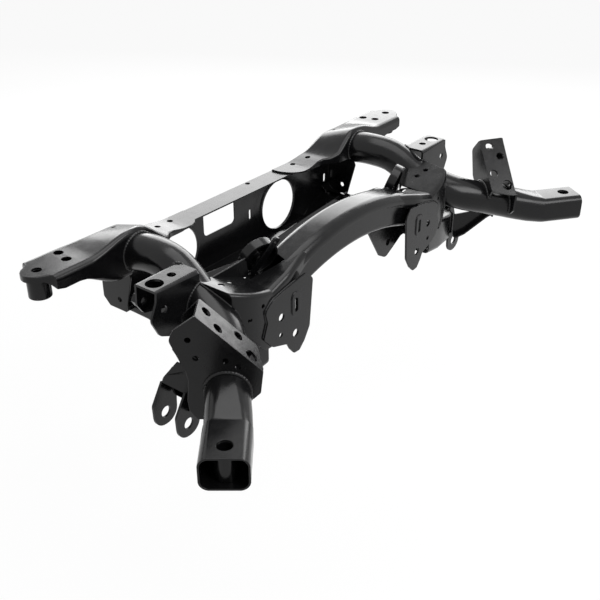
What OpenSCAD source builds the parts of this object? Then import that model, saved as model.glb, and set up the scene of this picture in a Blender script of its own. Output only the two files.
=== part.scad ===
// Rear suspension subframe: two bent side tubes, a pressed arch at the front,
// an open channel crossmember at the rear, pressed mounting arms and welded brackets.
// X runs across the vehicle, -Y is the front (the splayed tube ends), Z is up.
// The origin lies midway between the two arm end mounting holes, on their top face.
// Every piece of a pair is modelled on the +X side and mirrored for the other side.

/* [Sheet and welds] */
// Sheet thickness of the pressed arms and shells
sheet_t = 3; // [2:0.1:4]
// Plate thickness of the link and stay brackets
plate_t = 4; // [3:0.1:5]
// Gap left between pieces that a weld joins
weld_gap = 0.3; // [0.2:0.05:0.5]

/* [Arm end mounts] */
// Distance between the two arm end mounting holes
mount_span = 950; // [930:1:970]
// Bore of the arm end holes and of the sleeves under them
mount_bore = 16; // [12:0.5:18]
// Outer diameter of the sleeve under each arm end
sleeve_od = 36; // [30:0.5:40]
// Depth of the sleeve's lower face below the arm's top face
sleeve_depth = 43; // [36:1:52]
// Radius of the arm's rounded nose around its mounting hole
nose_r = 25.5; // [24:0.5:28]
// Bore of the two tooling holes behind each arm end hole
tool_bore = 16; // [10:0.5:18]

/* [Mounting arms] */
// Front edge of the arm, behind the mounting hole line
arm_front = 40; // [36:1:44]
// Rear edge of the arm
arm_rear = 41; // [40:1:44]
// Height of the hump over the side tube
hump_h = 20; // [17:0.5:24]
// Skirt depth of the arm behind its nose
skirt_h = 25; // [20:1:30]
// Skirt depth around the nose
nose_skirt = 10; // [8:1:14]
// Depth of the closed lower shell where it meets the tube
lower_shell_h = 62; // [56:1:68]
// Rounding of the pressed edges of the arm
arm_edge_r = 11; // [6:0.5:14]
// Front edge of the arm's tongue on the crossmember
tongue_front = 16; // [14:1:18]
// Bore of the two holes in the arm's tongue
tongue_bore = 11; // [7:0.5:13]

/* [Rear crossmember] */
// Depth of the crossmember's top strip below the mounting face
strip_z = 39.3; // [39.3:0.1:41]
// Front edge of the top strip under the arms' tongues
strip_front = 13; // [11:1:15]
// Width of the top strip between the tongues
strip_w = 43; // [40:1:46]
// Height of the crossmember at its ends
channel_h = 101; // [96:1:104]
// Height of the crossmember in the middle
belly_h = 138; // [134:1:142]
// Height of the upturned front lip in the middle
front_lip = 22; // [16:1:26]
// Reach of the bottom flange towards the front, from the web
bottom_flange = 54; // [48:1:58]
// Half length of the crossmember
channel_half = 322; // [318:1:326]
// Diameter of the two large web holes
web_hole_d = 103; // [90:1:104]
// Distance of each large web hole from the middle
web_hole_x = 145; // [140:1:150]
// Width of the window in the web
window_w = 86; // [70:1:90]
// Height of the window in the web
window_h = 56; // [46:1:60]
// Offset of the window's centre from the middle, towards the right side
window_off = 31; // [26:1:36]

/* [Side tubes] */
// Outer diameter of the round side tube
tube_od = 63.5; // [60:0.5:66]
// Wall of the side tube
tube_wall = 3; // [2:0.1:4]
// Width of the flattened tube end
tube_end_w = 68; // [64:1:72]
// Height of the flattened tube end
tube_end_h = 52; // [46:1:56]
// Corner rounding of the flattened tube end
tube_end_r = 15; // [10:1:20]
// Angle of the tube end from the X axis, towards the front, in degrees
tube_end_angle = 37.8; // [34:0.1:42]
// Distance between the two tube end mounting holes
front_span = 1042.8; // [1020:0.1:1060]
// Distance of the tube end holes in front of the arm end holes
front_y = 410; // [400:1:420]
// Depth of the tube end's top face below the arm's top face
front_z = 99; // [94:1:104]
// Bore of the tube end holes and of the sleeves inside
front_bore = 22; // [16:0.5:24]
// Wall of the crush sleeve inside the tube end
crush_wall = 5; // [3:0.5:7]
// Tube length past the centre of its end hole
tube_tail = 27; // [24:1:32]
// Length of the flattened stretch behind the end hole
tube_flat = 57; // [50:1:62]

/* [Arch] */
// Radius of the arch's top line
arch_r = 540; // [500:5:580]
// Depth of the arch's crest below the mounting face
arch_crest = 1; // [0:1:6]
// Half angle of the curved part of the arch, in degrees
arch_half = 17.2; // [16:0.1:18.5]
// Length of each straight leg of the arch
arch_leg = 84; // [76:1:88]
// Front face of the arch
arch_front = 253; // [251:0.5:255]
// Depth of the arch section from front to rear
arch_w = 62; // [56:1:66]
// Height of the arch section
arch_h = 63; // [58:1:68]
// Rounding of the arch's upper edges
arch_edge_r = 17; // [10:0.5:20]
// Distance of the saddle's front flange in front of the arch
junction_out = 5; // [4:0.5:7]
// Depth of the upper shell's skirts, down to the side seam
seam_h = 20; // [16:0.5:24]

/* [Link brackets] */
// Distance of the lower link bolt from the middle
link_x = 189; // [184:1:194]
// Depth of the lower link bolt below the mounting face
link_z = 149; // [145:1:153]
// Bore for the lower link bolt
link_bore = 14; // [10:0.5:16]
// Clear gap between the two lower link plates
link_gap = 62; // [58:1:64]
// Distance of the outer clevis bolt from the middle
clevis_x = 407; // [403:1:411]
// Depth of the outer clevis bolt below the mounting face
clevis_z = 218; // [214:1:222]
// Bore for the outer clevis bolt
clevis_bore = 19; // [16:0.5:20]
// Clear gap between the ears of the outer clevis
clevis_gap = 45; // [42:0.5:46]
// Rounding radius of the clevis ears around the bolt
clevis_r = 23; // [20:0.5:25]
// Distance of the upper link bolt outside the channel's end
upper_x = 78; // [74:1:81]
// Depth of the upper link bolt below the mounting face
upper_z = 36; // [34:1:40]
// Bore for the upper link bolt
upper_bore = 12; // [8:0.5:14]
// Clear gap between the walls of the upper link bracket
upper_gap = 38; // [34:1:42]
// Diameter of the large access hole in the upper link bracket
access_d = 28; // [20:1:32]

/* [Stay bracket] */
// Length of the sloping four hole plate
stay_len = 120; // [112:1:126]
// Width of the four hole plate over its flanges
stay_w = 51; // [47:1:56]
// Slope of the four hole plate, in degrees
stay_slope = 44.6; // [40:0.5:48]
// Bore of the three smaller holes in the plate
stay_bore = 16; // [12:0.5:18]
// Bore of the lowest hole in the plate
stay_low_bore = 21; // [16:0.5:22]

/* [Bush housings] */
// Outer diameter of the bush ring
bush_od = 65; // [62:1:68]
// Bore of the bush ring
bush_bore = 56; // [50:1:58]
// Length of the bush ring
bush_len = 16; // [12:1:20]
// Toe of the ring's axis towards the outside, in degrees
bush_toe = 16; // [12:1:20]
// Dip of the ring's axis towards the front, in degrees
bush_dip = 20; // [16:1:24]

/* [Hidden] */

paint = "#1b1c1e";
paint_plate = "#232528";
$fn = 48;
eps = 0.01;
mount_x = mount_span / 2;
tube_r = tube_od / 2;
strip_top = -strip_z;
tongue_top = strip_top + sheet_t + weld_gap;

// Smooth step from 0 to 1 and straight interpolation
function ease(t) = let (u = min(max(t, 0), 1)) u * u * (3 - 2 * u);
function mix(a, b, t) = a + (b - a) * t;
function unit(v) = v / norm(v);

// Faces of a skin over m rings of n points each, closed by flat caps
function skin_faces(m, n) = concat(
    [[for (j = [0 : n - 1]) j]],
    [[for (j = [n - 1 : -1 : 0]) (m - 1) * n + j]],
    [for (i = [0 : m - 2], j = [0 : n - 1]) [i * n + j, (i + 1) * n + j, (i + 1) * n + (j + 1) % n]],
    [for (i = [0 : m - 2], j = [0 : n - 1]) [i * n + j, (i + 1) * n + (j + 1) % n, i * n + (j + 1) % n]]
);

module skin(rings) {
    n = len(rings[0]);
    polyhedron([for (r = rings) each r], skin_faces(len(rings), n), convexity = 8);
}

// Outline with its corners rounded: each corner is [x, y, radius]
function corner_arc(a, b, c, steps) =
    let (u = unit([a.x - b.x, a.y - b.y]), v = unit([c.x - b.x, c.y - b.y]),
        half = acos(u * v) / 2, reach = b.z / tan(half),
        p = [b.x, b.y] + u * reach, q = [b.x, b.y] + v * reach,
        m = [b.x, b.y] + unit(u + v) * b.z / sin(half),
        a0 = atan2(p.y - m.y, p.x - m.x), a1 = atan2(q.y - m.y, q.x - m.x),
        turn = a1 - a0 > 180 ? a1 - a0 - 360 : a1 - a0 < -180 ? a1 - a0 + 360 : a1 - a0)
    [for (i = [0 : steps]) m + b.z * [cos(a0 + turn * i / steps), sin(a0 + turn * i / steps)]];
function rounded(points, steps = 6) = [
    for (i = [0 : len(points) - 1])
        let (n = len(points), a = points[(i + n - 1) % n], b = points[i], c = points[(i + 1) % n])
        each b.z > 0 ? corner_arc(a, b, c, steps) : [[b.x, b.y]]
];

// A plate in the XZ plane: front face at y, growing to the rear by t
module upright(y, t) translate([0, y + t, 0]) rotate([90, 0, 0]) linear_extrude(t) children();
// A hole along Y through an upright plate
module cross_hole(x, y, z, d, len) translate([x, y, z]) rotate([-90, 0, 0]) cylinder(d = d, h = len);

// The side tube's route: points chosen along its centre, then its straight flattened end
tube_in = channel_half - 8;
tube_rear = [[tube_in, 6, -26], [tube_in - 5, -34, -23], [tube_in - 7, -78, -19], [tube_in - 3, -127, -25]];
tube_bend = [[tube_in + 6, -182, -56], [tube_in + 32, -256, -81], [tube_in + 89, -309, -101]];
end_dir = [cos(tube_end_angle), -sin(tube_end_angle), 0];
front_hole = [front_span / 2, -front_y, -front_z - tube_end_h / 2];
tube_crease = front_hole - tube_flat * end_dir;
tube_tip = front_hole + tube_tail * end_dir;
route = concat(tube_rear, tube_bend, [tube_crease, tube_tip]);
crease_i = len(route) - 2;
ring_steps = 4;
tube_sides = 24;

// Point and section of the tube at a place along the route, counted in route points
function route_at(i) = route[min(max(i, 0), len(route) - 1)];
function spline(s) =
    s > crease_i ? mix(route[crease_i], route[crease_i + 1], s - crease_i) :
    let (i = min(floor(s), len(route) - 2), t = s - i,
        b = route_at(i), c = route_at(i + 1),
        a = i > 0 ? route_at(i - 1) : 2 * b - c,
        d = i < len(route) - 2 ? route_at(i + 2) : 2 * c - b)
    0.5 * (2 * b + (c - a) * t + (2 * a - 5 * b + 4 * c - d) * t * t + (3 * b - a - 3 * c + d) * t * t * t);
function tangent(s) =
    s > crease_i - 0.05 ? end_dir
    : unit(spline(min(s + 0.05, crease_i)) - spline(max(s - 0.05, 0)));
crease_share = 0.72;
function flatness(s) = s > crease_i ? 1 : crease_share * ease((s - crease_i + 1) / 1);

// Ring around the route at s: a circle that turns into a rounded rectangle
function tube_ring(s, grow) =
    let (k = flatness(s), c = spline(s), f = tangent(s),
        side = unit(cross(f, [0, 0, 1])), up = cross(side, f),
        w = mix(tube_od, tube_end_w, k) + 2 * grow, h = mix(tube_od, tube_end_h, k) + 2 * grow,
        r = min(mix(tube_r, tube_end_r, k) + grow, w / 2, h / 2))
    [for (j = [0 : tube_sides - 1])
        let (a = -(j + 0.5) * 360 / tube_sides)
        c + side * ((w / 2 - r) * sign(cos(a)) + r * cos(a))
            + up * ((h / 2 - r) * sign(sin(a)) + r * sin(a))];
tube_stations = concat([for (s = [0 : 1 / ring_steps : crease_i]) s], [crease_i + 0.06, len(route) - 1]);

// Solid of the tube's outside between two places on the route, grown by a margin
module tube_solid(grow, from = 0, to = len(route) - 1) {
    skin([for (s = tube_stations) if (s >= from && s <= to) tube_ring(s, grow)]);
}

module side_tube() color(paint) difference() {
    tube_solid(0);
    skin([for (s = tube_stations)
        let (shift = s == 0 ? -1 : s == len(route) - 1 ? 1 : 0)
        [for (p = tube_ring(s, -tube_wall)) p + shift * tangent(s)]]);
    translate([front_hole.x, front_hole.y, front_hole.z - tube_end_h])
        cylinder(d = front_bore, h = 2 * tube_end_h);
}

module crush_sleeve() color(paint) {
    clear_h = tube_end_h - 2 * tube_wall - 2 * weld_gap;
    translate([front_hole.x, front_hole.y, front_hole.z - clear_h / 2]) difference() {
        cylinder(d = front_bore + 2 * crush_wall, h = clear_h);
        translate([0, 0, -eps]) cylinder(d = front_bore, h = clear_h + 2 * eps);
    }
}

// Mounting arm: a pressed channel whose front edge humps over the tube and whose inner end
// drops to a flat tongue on the crossmember
hump_x = tube_in - 3;
tongue_x = hump_x - 184;
function arm_drop(x) = 0.85 * ease((hump_x - 11 - x) / 75) + 0.15 * ease((hump_x - 86 - x) / 55);
function arm_z_front(x) = hump_h * ease((hump_x + 94 - x) / 88) - (hump_h - tongue_top) * arm_drop(x);
rear_dip = 4;
function arm_z_rear(x) = -rear_dip * ease((hump_x + 119 - x) / 110)
    + (tongue_top + rear_dip) * (0.8 * ease((hump_x - 15 - x) / 75) + 0.2 * ease((hump_x - 86 - x) / 50));
function arm_y_front(x) = -mix(arm_front, tongue_front, ease((hump_x - 59 - x) / 42));
function arm_bottom(x) = mix(mix(-nose_skirt, -skirt_h, ease((mount_x + 4 - x) / 12)),
    tongue_top - sheet_t, ease((hump_x + 117 - x) / 50));
// Corner between two edges of a section, rounded as a quadratic curve
function soft_corner(p, q, r) =
    [for (t = [0 : 0.25 : 1]) (1 - t) * (1 - t) * p + 2 * t * (1 - t) * q + t * t * r];
function arm_ring(x, y0, y1, inset, bottom) =
    let (z0 = arm_z_front(x) - inset, z1 = arm_z_rear(x) - inset,
        a = y0 + inset, b = y1 - inset, slope = (z1 - z0) / (b - a),
        deep = max(min(z0, z1) - bottom, 0.2),
        r = min(arm_edge_r - inset * 0.5, (b - a) / 3, deep * 0.45))
    [for (p = concat(
        [[a, bottom]],
        soft_corner([a, z0 - r], [a, z0], [a + r, z0 + slope * r]),
        soft_corner([b - r, z1 - slope * r], [b, z1], [b, z1 - r]),
        [[b, bottom]])) [x, p.x, p.y]];
nose_steps = [4, 20, 38, 56, 74];
shoulder_x = mount_x - 4;
function arm_stations(inset) = concat(
    [for (a = nose_steps) [mount_x + (nose_r - inset) * cos(a) + inset, (nose_r - inset) * sin(a) + inset]],
    [[mount_x - 1, -1]], [for (x = [shoulder_x : -14 : tongue_x + 7]) [x, 0]], [[tongue_x, 0]]);
function arm_side(s, edge) = s.y > 0 ? s.y : s.y < 0 ? mix(nose_r, edge, 0.35) : edge;
module arm_shape(inset, last_x) {
    skin([for (s = arm_stations(inset))
        if (s.x >= last_x)
            arm_ring(s.x - (s.y > 0 ? inset : 0),
                s.y != 0 ? -arm_side(s, arm_front) : arm_y_front(s.x), arm_side(s, arm_rear),
                inset, inset > 0 ? -70 : arm_bottom(s.x))]);
}
arm_holes = [[mount_x - 57.5, 20.7], [mount_x - 51, -6]];
tongue_holes = [[hump_x - 98.5, 16.5], [hump_x - 136.5, 25.6]];
hump_hole = [hump_x - 5, 19];
hump_hole_d = 8;
tongue_sweep = [43, 50];
module tongue_corner() translate([tongue_x - 1, -tongue_front - 1, tongue_top - 10])
    linear_extrude(20) difference() {
        square([tongue_sweep.x + 1, tongue_sweep.y + 1]);
        translate([tongue_sweep.x + 1, tongue_sweep.y + 1])
            scale([1, tongue_sweep.y / tongue_sweep.x]) circle(tongue_sweep.x);
    }
module arm_upper() color(paint) difference() {
    arm_shape(0, 0);
    arm_shape(sheet_t, hump_x - 89);
    translate([mount_x, 0, -skirt_h]) cylinder(d = mount_bore, h = 2 * skirt_h);
    for (p = arm_holes) translate([p.x, p.y, -10]) cylinder(d = tool_bore, h = 20);
    for (p = tongue_holes) translate([p.x, p.y, tongue_top - 10]) cylinder(d = tongue_bore, h = 20);
    translate([hump_hole.x, hump_hole.y, -14]) cylinder(d = hump_hole_d, h = 40);
    tongue_corner();
    tube_solid(weld_gap, 0, 2);
}

sleeve_chamfer = 8;
module mount_sleeve() color(paint) translate([mount_x, 0, -sleeve_depth]) difference() {
    h = sleeve_depth - sheet_t - weld_gap;
    union() {
        cylinder(d = sleeve_od, h = h - sleeve_chamfer);
        translate([0, 0, h - sleeve_chamfer - eps])
            cylinder(d1 = sleeve_od, d2 = sleeve_od - sleeve_chamfer, h = sleeve_chamfer + eps);
    }
    translate([0, 0, -eps]) cylinder(d = mount_bore, h = h + 2 * eps);
}

// Lower shell: a tray inside the arm's skirts that deepens towards the tube
function tray_bottom(x) = mix(-skirt_h - 2, -lower_shell_h, ease((hump_x + 123 - x) / 92));
function tray_ring(x, inset) =
    let (y0 = -arm_front + sheet_t + weld_gap + inset, y1 = arm_rear - sheet_t - weld_gap - inset,
        top = inset > 0 ? 40 : -arm_edge_r - 5, z = tray_bottom(x) + inset, r = 9 - inset)
    [for (p = concat([[y1, top]], soft_corner([y1, z + r], [y1, z], [y1 - r, z]),
        soft_corner([y0 + r, z], [y0, z], [y0, z + r]), [[y0, top]])) [x, p.x, p.y]];
tray_out = mount_x - sleeve_od / 2 - 4;
tray_in = channel_half + 1;
tray_wall_w = 48;
module arm_lower() color(paint) difference() {
    union() {
        difference() {
            skin([for (i = [0 : 10]) tray_ring(mix(tray_out, tray_in, i / 10), 0)]);
            skin([for (i = [0 : 10]) tray_ring(mix(tray_out - sheet_t, tray_in - 1, i / 10), sheet_t)]);
        }
        translate([tray_out - sheet_t, -tray_wall_w / 2, -skirt_h])
            cube([sheet_t, tray_wall_w, skirt_h - sheet_t - 2 * weld_gap]);
    }
    tube_solid(weld_gap, 0, 2);
}

// Rear crossmember: top strip, upright web with its openings, bottom flange and end walls
web_y = arm_rear + weld_gap;
web_back = web_y + sheet_t;
end_bottom = strip_top - channel_h;
belly = strip_top - belly_h;
flange_front = web_back - bottom_flange;
web_hole_z = strip_top - 77.5;
window_z = strip_top - 14 - window_h / 2;
slot_z = strip_top - 70;
rim_h = 2.5;
rim_w = 5.5;
corner_cut = 20;
belly_half = 226;
rise_half = channel_half - 22;
tongue_half = 180;
// Lower edge of the channel, raised by an amount; the ends lie higher than the belly
function sill(up) = [[-channel_half, end_bottom + up, 0], [-rise_half, end_bottom + up, 20],
    [-belly_half, belly + up, 30], [belly_half, belly + up, 30],
    [rise_half, end_bottom + up, 20], [channel_half, end_bottom + up, 0]];
function lip_top() = [[channel_half, end_bottom + 8, 0], [tongue_half, belly + front_lip + 14, 0],
    [60, belly + front_lip, 0], [-60, belly + front_lip, 0], [-tongue_half, belly + front_lip + 14, 0],
    [-channel_half, end_bottom + 8, 0]];
function back_way(list) = [for (i = [len(list) - 1 : -1 : 0]) list[i]];
module web_cut(x, z) translate([x, web_back + 15, z]) rotate([90, 0, 0]) linear_extrude(30) children();
module slot(w, h) polygon(rounded([for (c = [[-1, -1], [1, -1], [1, 1], [-1, 1]])
    [c.x * w / 2, c.y * h / 2, w * 0.49]]));
module top_strip() translate([0, 0, strip_top - sheet_t]) linear_extrude(sheet_t) polygon(rounded([
    [-channel_half, web_back, 0], [-channel_half, -strip_front, 0], [-tongue_half, -strip_front, 30],
    [-tongue_half + 40, web_back - strip_w, 30], [tongue_half - 40, web_back - strip_w, 30],
    [tongue_half, -strip_front, 30], [channel_half, -strip_front, 0], [channel_half, web_back, 0]]));
end_hole = [4, end_bottom + 20];
module end_wall() translate([channel_half - sheet_t, 0, 0]) rotate([90, 0, 90])
    linear_extrude(sheet_t) difference() {
        polygon(rounded([[web_back, strip_top, 0], [-strip_front, strip_top, 0],
            [-strip_front - 16, strip_top - 30, 8], [flange_front, end_bottom, 0],
            [web_back, end_bottom, 0]]));
        translate(end_hole) circle(d = 9);
    }
// Frame on the lower rear corner of the channel's end, turned to the chamfer there
corner_len = channel_half - rise_half;
module lower_corner() translate([channel_half - corner_len / 2, web_back, end_bottom])
    rotate([45, 0, 0]) children();
module rear_crossmember() color(paint) difference() {
    union() {
        top_strip();
        upright(web_y, sheet_t) polygon(rounded(concat(sill(0),
            [[channel_half, strip_top, 0], [-channel_half, strip_top, 0]])));
        for (s = [-1, 1]) translate([s * web_hole_x, web_y - rim_h, web_hole_z])
            rotate([-90, 0, 0]) cylinder(d = web_hole_d + 2 * rim_w, h = rim_h + sheet_t / 2);
        upright(flange_front, bottom_flange) polygon(rounded(concat(sill(0), back_way(sill(sheet_t)))));
        upright(flange_front, sheet_t) polygon(rounded(concat(sill(0), lip_top())));
        for (m = [0, 1]) mirror([m, 0, 0]) end_wall();
        for (m = [0, 1]) mirror([m, 0, 0]) lower_corner() translate([-2.5, 0, corner_cut / 2 + sheet_t / 2])
            cube([corner_len + 3, corner_cut - 1, sheet_t + 1], center = true);
    }
    for (s = [-1, 1]) web_cut(s * web_hole_x, web_hole_z) circle(d = web_hole_d, $fn = 96);
    web_cut(-window_off, window_z) polygon(rounded([for (c = [[-1, -1], [1, -1], [1, 1], [-1, 1]])
        [c.x * window_w / 2, c.y * window_h / 2, 9]]));
    web_cut(58, slot_z) slot(6, 20);
    for (s = [-1, 1]) web_cut(s * (channel_half - 16), slot_z) slot(7, 18);
    for (m = [0, 1]) mirror([m, 0, 0]) lower_corner()
        cube([corner_len + 2, 2 * corner_cut, corner_cut], center = true);
    translate([47, web_back - 8, strip_top - 10]) cylinder(d = 9, h = 20);
    for (m = [0, 1], p = tongue_holes) mirror([m, 0, 0])
        translate([p.x, p.y, strip_top - 10]) cylinder(d = tongue_bore, h = 20);
    for (m = [0, 1]) mirror([m, 0, 0]) tube_solid(weld_gap, 0, 2);
}

// Arch: a section swept round an arc and on along two straight legs.
// The section is drawn with x outwards from the arc's top line and y across the arch.
module arch_sweep() translate([0, 0, -arch_crest - arch_r]) {
    rotate([-90, 0, 0]) rotate([0, 0, -90 - arch_half])
        rotate_extrude(angle = 2 * arch_half, $fn = 160) translate([arch_r, 0]) children();
    for (m = [0, 1]) mirror([m, 0, 0])
        rotate([0, arch_half - 90, 0]) translate([arch_r, 0, -arch_leg])
            linear_extrude(arch_leg + eps) children();
}
arch_rear = arch_front - arch_w;
module upper_section() difference() {
    polygon(rounded([[-seam_h, -arch_front, 0], [0, -arch_front, arch_edge_r],
        [0, -arch_rear, arch_edge_r], [-seam_h, -arch_rear, 0]], 8));
    polygon(rounded([[-seam_h - 1, -arch_front + sheet_t, 0],
        [-sheet_t, -arch_front + sheet_t, arch_edge_r - sheet_t],
        [-sheet_t, -arch_rear - sheet_t, arch_edge_r - sheet_t],
        [-seam_h - 1, -arch_rear - sheet_t, 0]], 8));
}
arch_lap = arch_edge_r + 1;
module lower_section() {
    step = sheet_t + weld_gap;
    front = -arch_front + step;
    rear = -arch_rear - step;
    difference() {
        polygon(rounded([[-arch_lap, front, 0], [-arch_h, front, 10],
            [-arch_h, rear, 10], [-arch_lap, rear, 0]]));
        polygon(rounded([[-arch_lap + 1, front + sheet_t, 0], [-arch_h + sheet_t, front + sheet_t, 7],
            [-arch_h + sheet_t, rear - sheet_t, 7], [-arch_lap + 1, rear - sheet_t, 0]]));
    }
}
pocket_front = 20;
module bush_pockets() for (m = [0, 1]) mirror([m, 0, 0])
    bush_frame() translate([0, 0, -bush_len - 40])
        cylinder(d = bush_od + 2 * weld_gap, h = bush_len + 40 + pocket_front);
module arch_upper_shell() color(paint) difference() {
    arch_sweep() upper_section();
    bush_pockets();
}
module arch_lower_shell() color(paint) difference() {
    arch_sweep() lower_section();
    bush_pockets();
}
// Outside of the whole arch, grown by the weld gap
module arch_solid() arch_sweep()
    polygon(rounded([
        [-arch_h - weld_gap, -arch_front - weld_gap, 0], [weld_gap, -arch_front - weld_gap, arch_edge_r],
        [weld_gap, -arch_rear + weld_gap, arch_edge_r], [-arch_h - weld_gap, -arch_rear + weld_gap, 0]], 8));

// Saddle plate: a sheet bent over the arch end, with a front flange below a rounded fold
// and a side wall that stands on the tube
saddle_at = [tube_in - 40, -221, -28];
saddle_lean_x = 13.5;
saddle_lean_y = 16;
saddle_front = arch_front + junction_out;
saddle_fold_r = 10;
saddle_reach = saddle_front + sheet_t + saddle_at.y;
saddle_outer = 44;
saddle_holes = [[16, 8], [-18, 6]];
flange_holes = [[saddle_at.x - 9, -62], [saddle_at.x + 19, -78]];
flange_in = link_x + 46;
module saddle_frame() translate(saddle_at) rotate([saddle_lean_x, -saddle_lean_y, 0]) children();
// Line of the bent sheet at a depth below its outer face: top, fold and flange
function saddle_line(d) =
    let (fold = [-(saddle_reach - d + d * sin(saddle_lean_x)) / cos(saddle_lean_x), -d])
    [[60, -d, 0], [fold.x, fold.y, saddle_fold_r - d],
        [fold.x - 200 * sin(saddle_lean_x), fold.y - 200 * cos(saddle_lean_x), 0]];
module saddle_sheet() saddle_frame() translate([-120, 0, 0]) rotate([90, 0, 90]) linear_extrude(240)
    polygon(rounded(concat(saddle_line(0), back_way(saddle_line(sheet_t)))));
module saddle_plate() color(paint_plate) difference() {
    union() {
        intersection() {
            saddle_sheet();
            union() {
                saddle_frame() translate([0, 0, -saddle_fold_r - 2]) linear_extrude(saddle_fold_r + 4)
                    polygon(rounded([[-46, -60, 0], [saddle_outer, -60, 0], [saddle_outer, -26, 0],
                        [38, 24, 4], [26, 40, 4], [-37, 22, 6]]));
                upright(-saddle_front - sheet_t - 1, saddle_fold_r + 2) polygon(rounded([
                    [flange_in, 20, 0], [saddle_at.x + saddle_outer, 20, 0],
                    [saddle_at.x + saddle_outer + 6, -44, 20], [saddle_at.x + 22, -112, 12],
                    [saddle_at.x - 12, -148, 10], [flange_in, -150, 8]]));
            }
        }
        intersection() {
            saddle_frame() translate([saddle_outer - sheet_t - 8, -60, -52]) cube([sheet_t, 76, 52]);
            translate([0, -saddle_front - sheet_t, -120]) cube([2 * saddle_at.x, 200, 200]);
        }
    }
    for (p = saddle_holes) saddle_frame() translate([p.x, p.y, -20]) cylinder(d = 10, h = 40);
    for (p = flange_holes) cross_hole(p.x, -saddle_front - 10, p.y, 7, 20);
    tube_solid(weld_gap, 2, 6);
    arch_solid();
    bush_pockets();
}

// Lower link bracket: a large front plate with a hooked tip and a V shaped rear plate
link_front_y = -saddle_front - sheet_t - weld_gap - plate_t;
link_rear_y = link_front_y + plate_t + link_gap;
module link_plate_front() color(paint_plate) difference() {
    union() {
        upright(link_front_y, plate_t) polygon(rounded([
            [link_x - 46, -66, 10], [link_x - 28, -50, 8], [link_x + 21, -57, 12], [link_x + 56, -64, 12],
            [link_x + 75, -78, 8], [link_x + 70, -98, 8], [link_x + 80, -124, 6], [link_x + 58, -148, 12],
            [link_x + 22, -160, 6], [link_x + 15, -173, 5], [link_x + 4, -186, 6], [link_x - 10, -187, 6],
            [link_x - 24, -174, 12], [link_x - 38, -152, 14]]));
        upright(link_front_y - 2, 2 + eps) translate([link_x, -94]) slot(22, 44);
    }
    upright(link_front_y - 3, plate_t + 4)
        translate([link_x, -95]) slot(7, 26);
    cross_hole(link_x, link_front_y - 1, -link_z, link_bore, plate_t + 2);
    cross_hole(link_x + 36, link_front_y - 1, -103, 13, plate_t + 2);
    cross_hole(link_x + 38, link_front_y - 1, -135, 8, plate_t + 2);
    tube_solid(weld_gap, 3, 6);
}
module link_plate_rear() color(paint_plate) difference() {
    upright(link_rear_y, plate_t) polygon(rounded([
        [link_x - 78, -60, 0], [link_x - 74, -98, 10], [link_x - 28, -168, 6], [link_x - 6, -180, 14],
        [link_x + 22, -166, 14], [link_x + 48, -152, 10], [link_x + 92, -152, 8], [link_x + 102, -108, 0],
        [link_x + 122, -104, 0], [link_x + 122, -70, 0]]));
    cross_hole(link_x, link_rear_y - 1, -link_z, link_bore, plate_t + 2);
    arch_solid();
    tube_solid(weld_gap, 3, 6);
}

// Upper link bracket: an inverted U on the outer side of the tube, open at its outer end
upper_y = -164.5;
upper_in = tube_in + 10;
upper_at = channel_half + upper_x;
upper_front_y = upper_y - upper_gap / 2 - plate_t;
module upper_front_wall() upright(upper_front_y, plate_t) polygon(rounded([
    [upper_in, -3, 0], [upper_at + 12, -3, 3], [upper_at + 14, -20, 16], [upper_at + 27, -46, 14],
    [upper_at + 12, -76, 12], [upper_at - 14, -88, 14], [upper_in + 26, -80, 0], [upper_in, -60, 0]]));
module upper_rear_wall() upright(upper_front_y + plate_t + upper_gap, plate_t) polygon(rounded([
    [upper_in, -3, 0], [upper_at + 12, -3, 3], [upper_at + 14, -38, 10], [upper_at + 2, -56, 10],
    [upper_in + 36, -66, 8], [upper_in, -60, 0]]));
module upper_link_bracket() color(paint_plate) difference() {
    union() {
        translate([upper_in, upper_front_y, -3 - plate_t])
            cube([upper_at + 12 - upper_in, upper_gap + 2 * plate_t, plate_t]);
        upper_front_wall();
        upper_rear_wall();
    }
    translate([upper_at - 6, upper_y, -20]) cylinder(d = access_d, h = 30);
    translate([upper_at - 41, upper_y, -20]) cylinder(d = access_d / 2, h = 30);
    cross_hole(upper_at, upper_front_y - 1, -upper_z, upper_bore, upper_gap + 2 * plate_t + 2);
    tube_solid(weld_gap, 2, 6);
}

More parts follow.
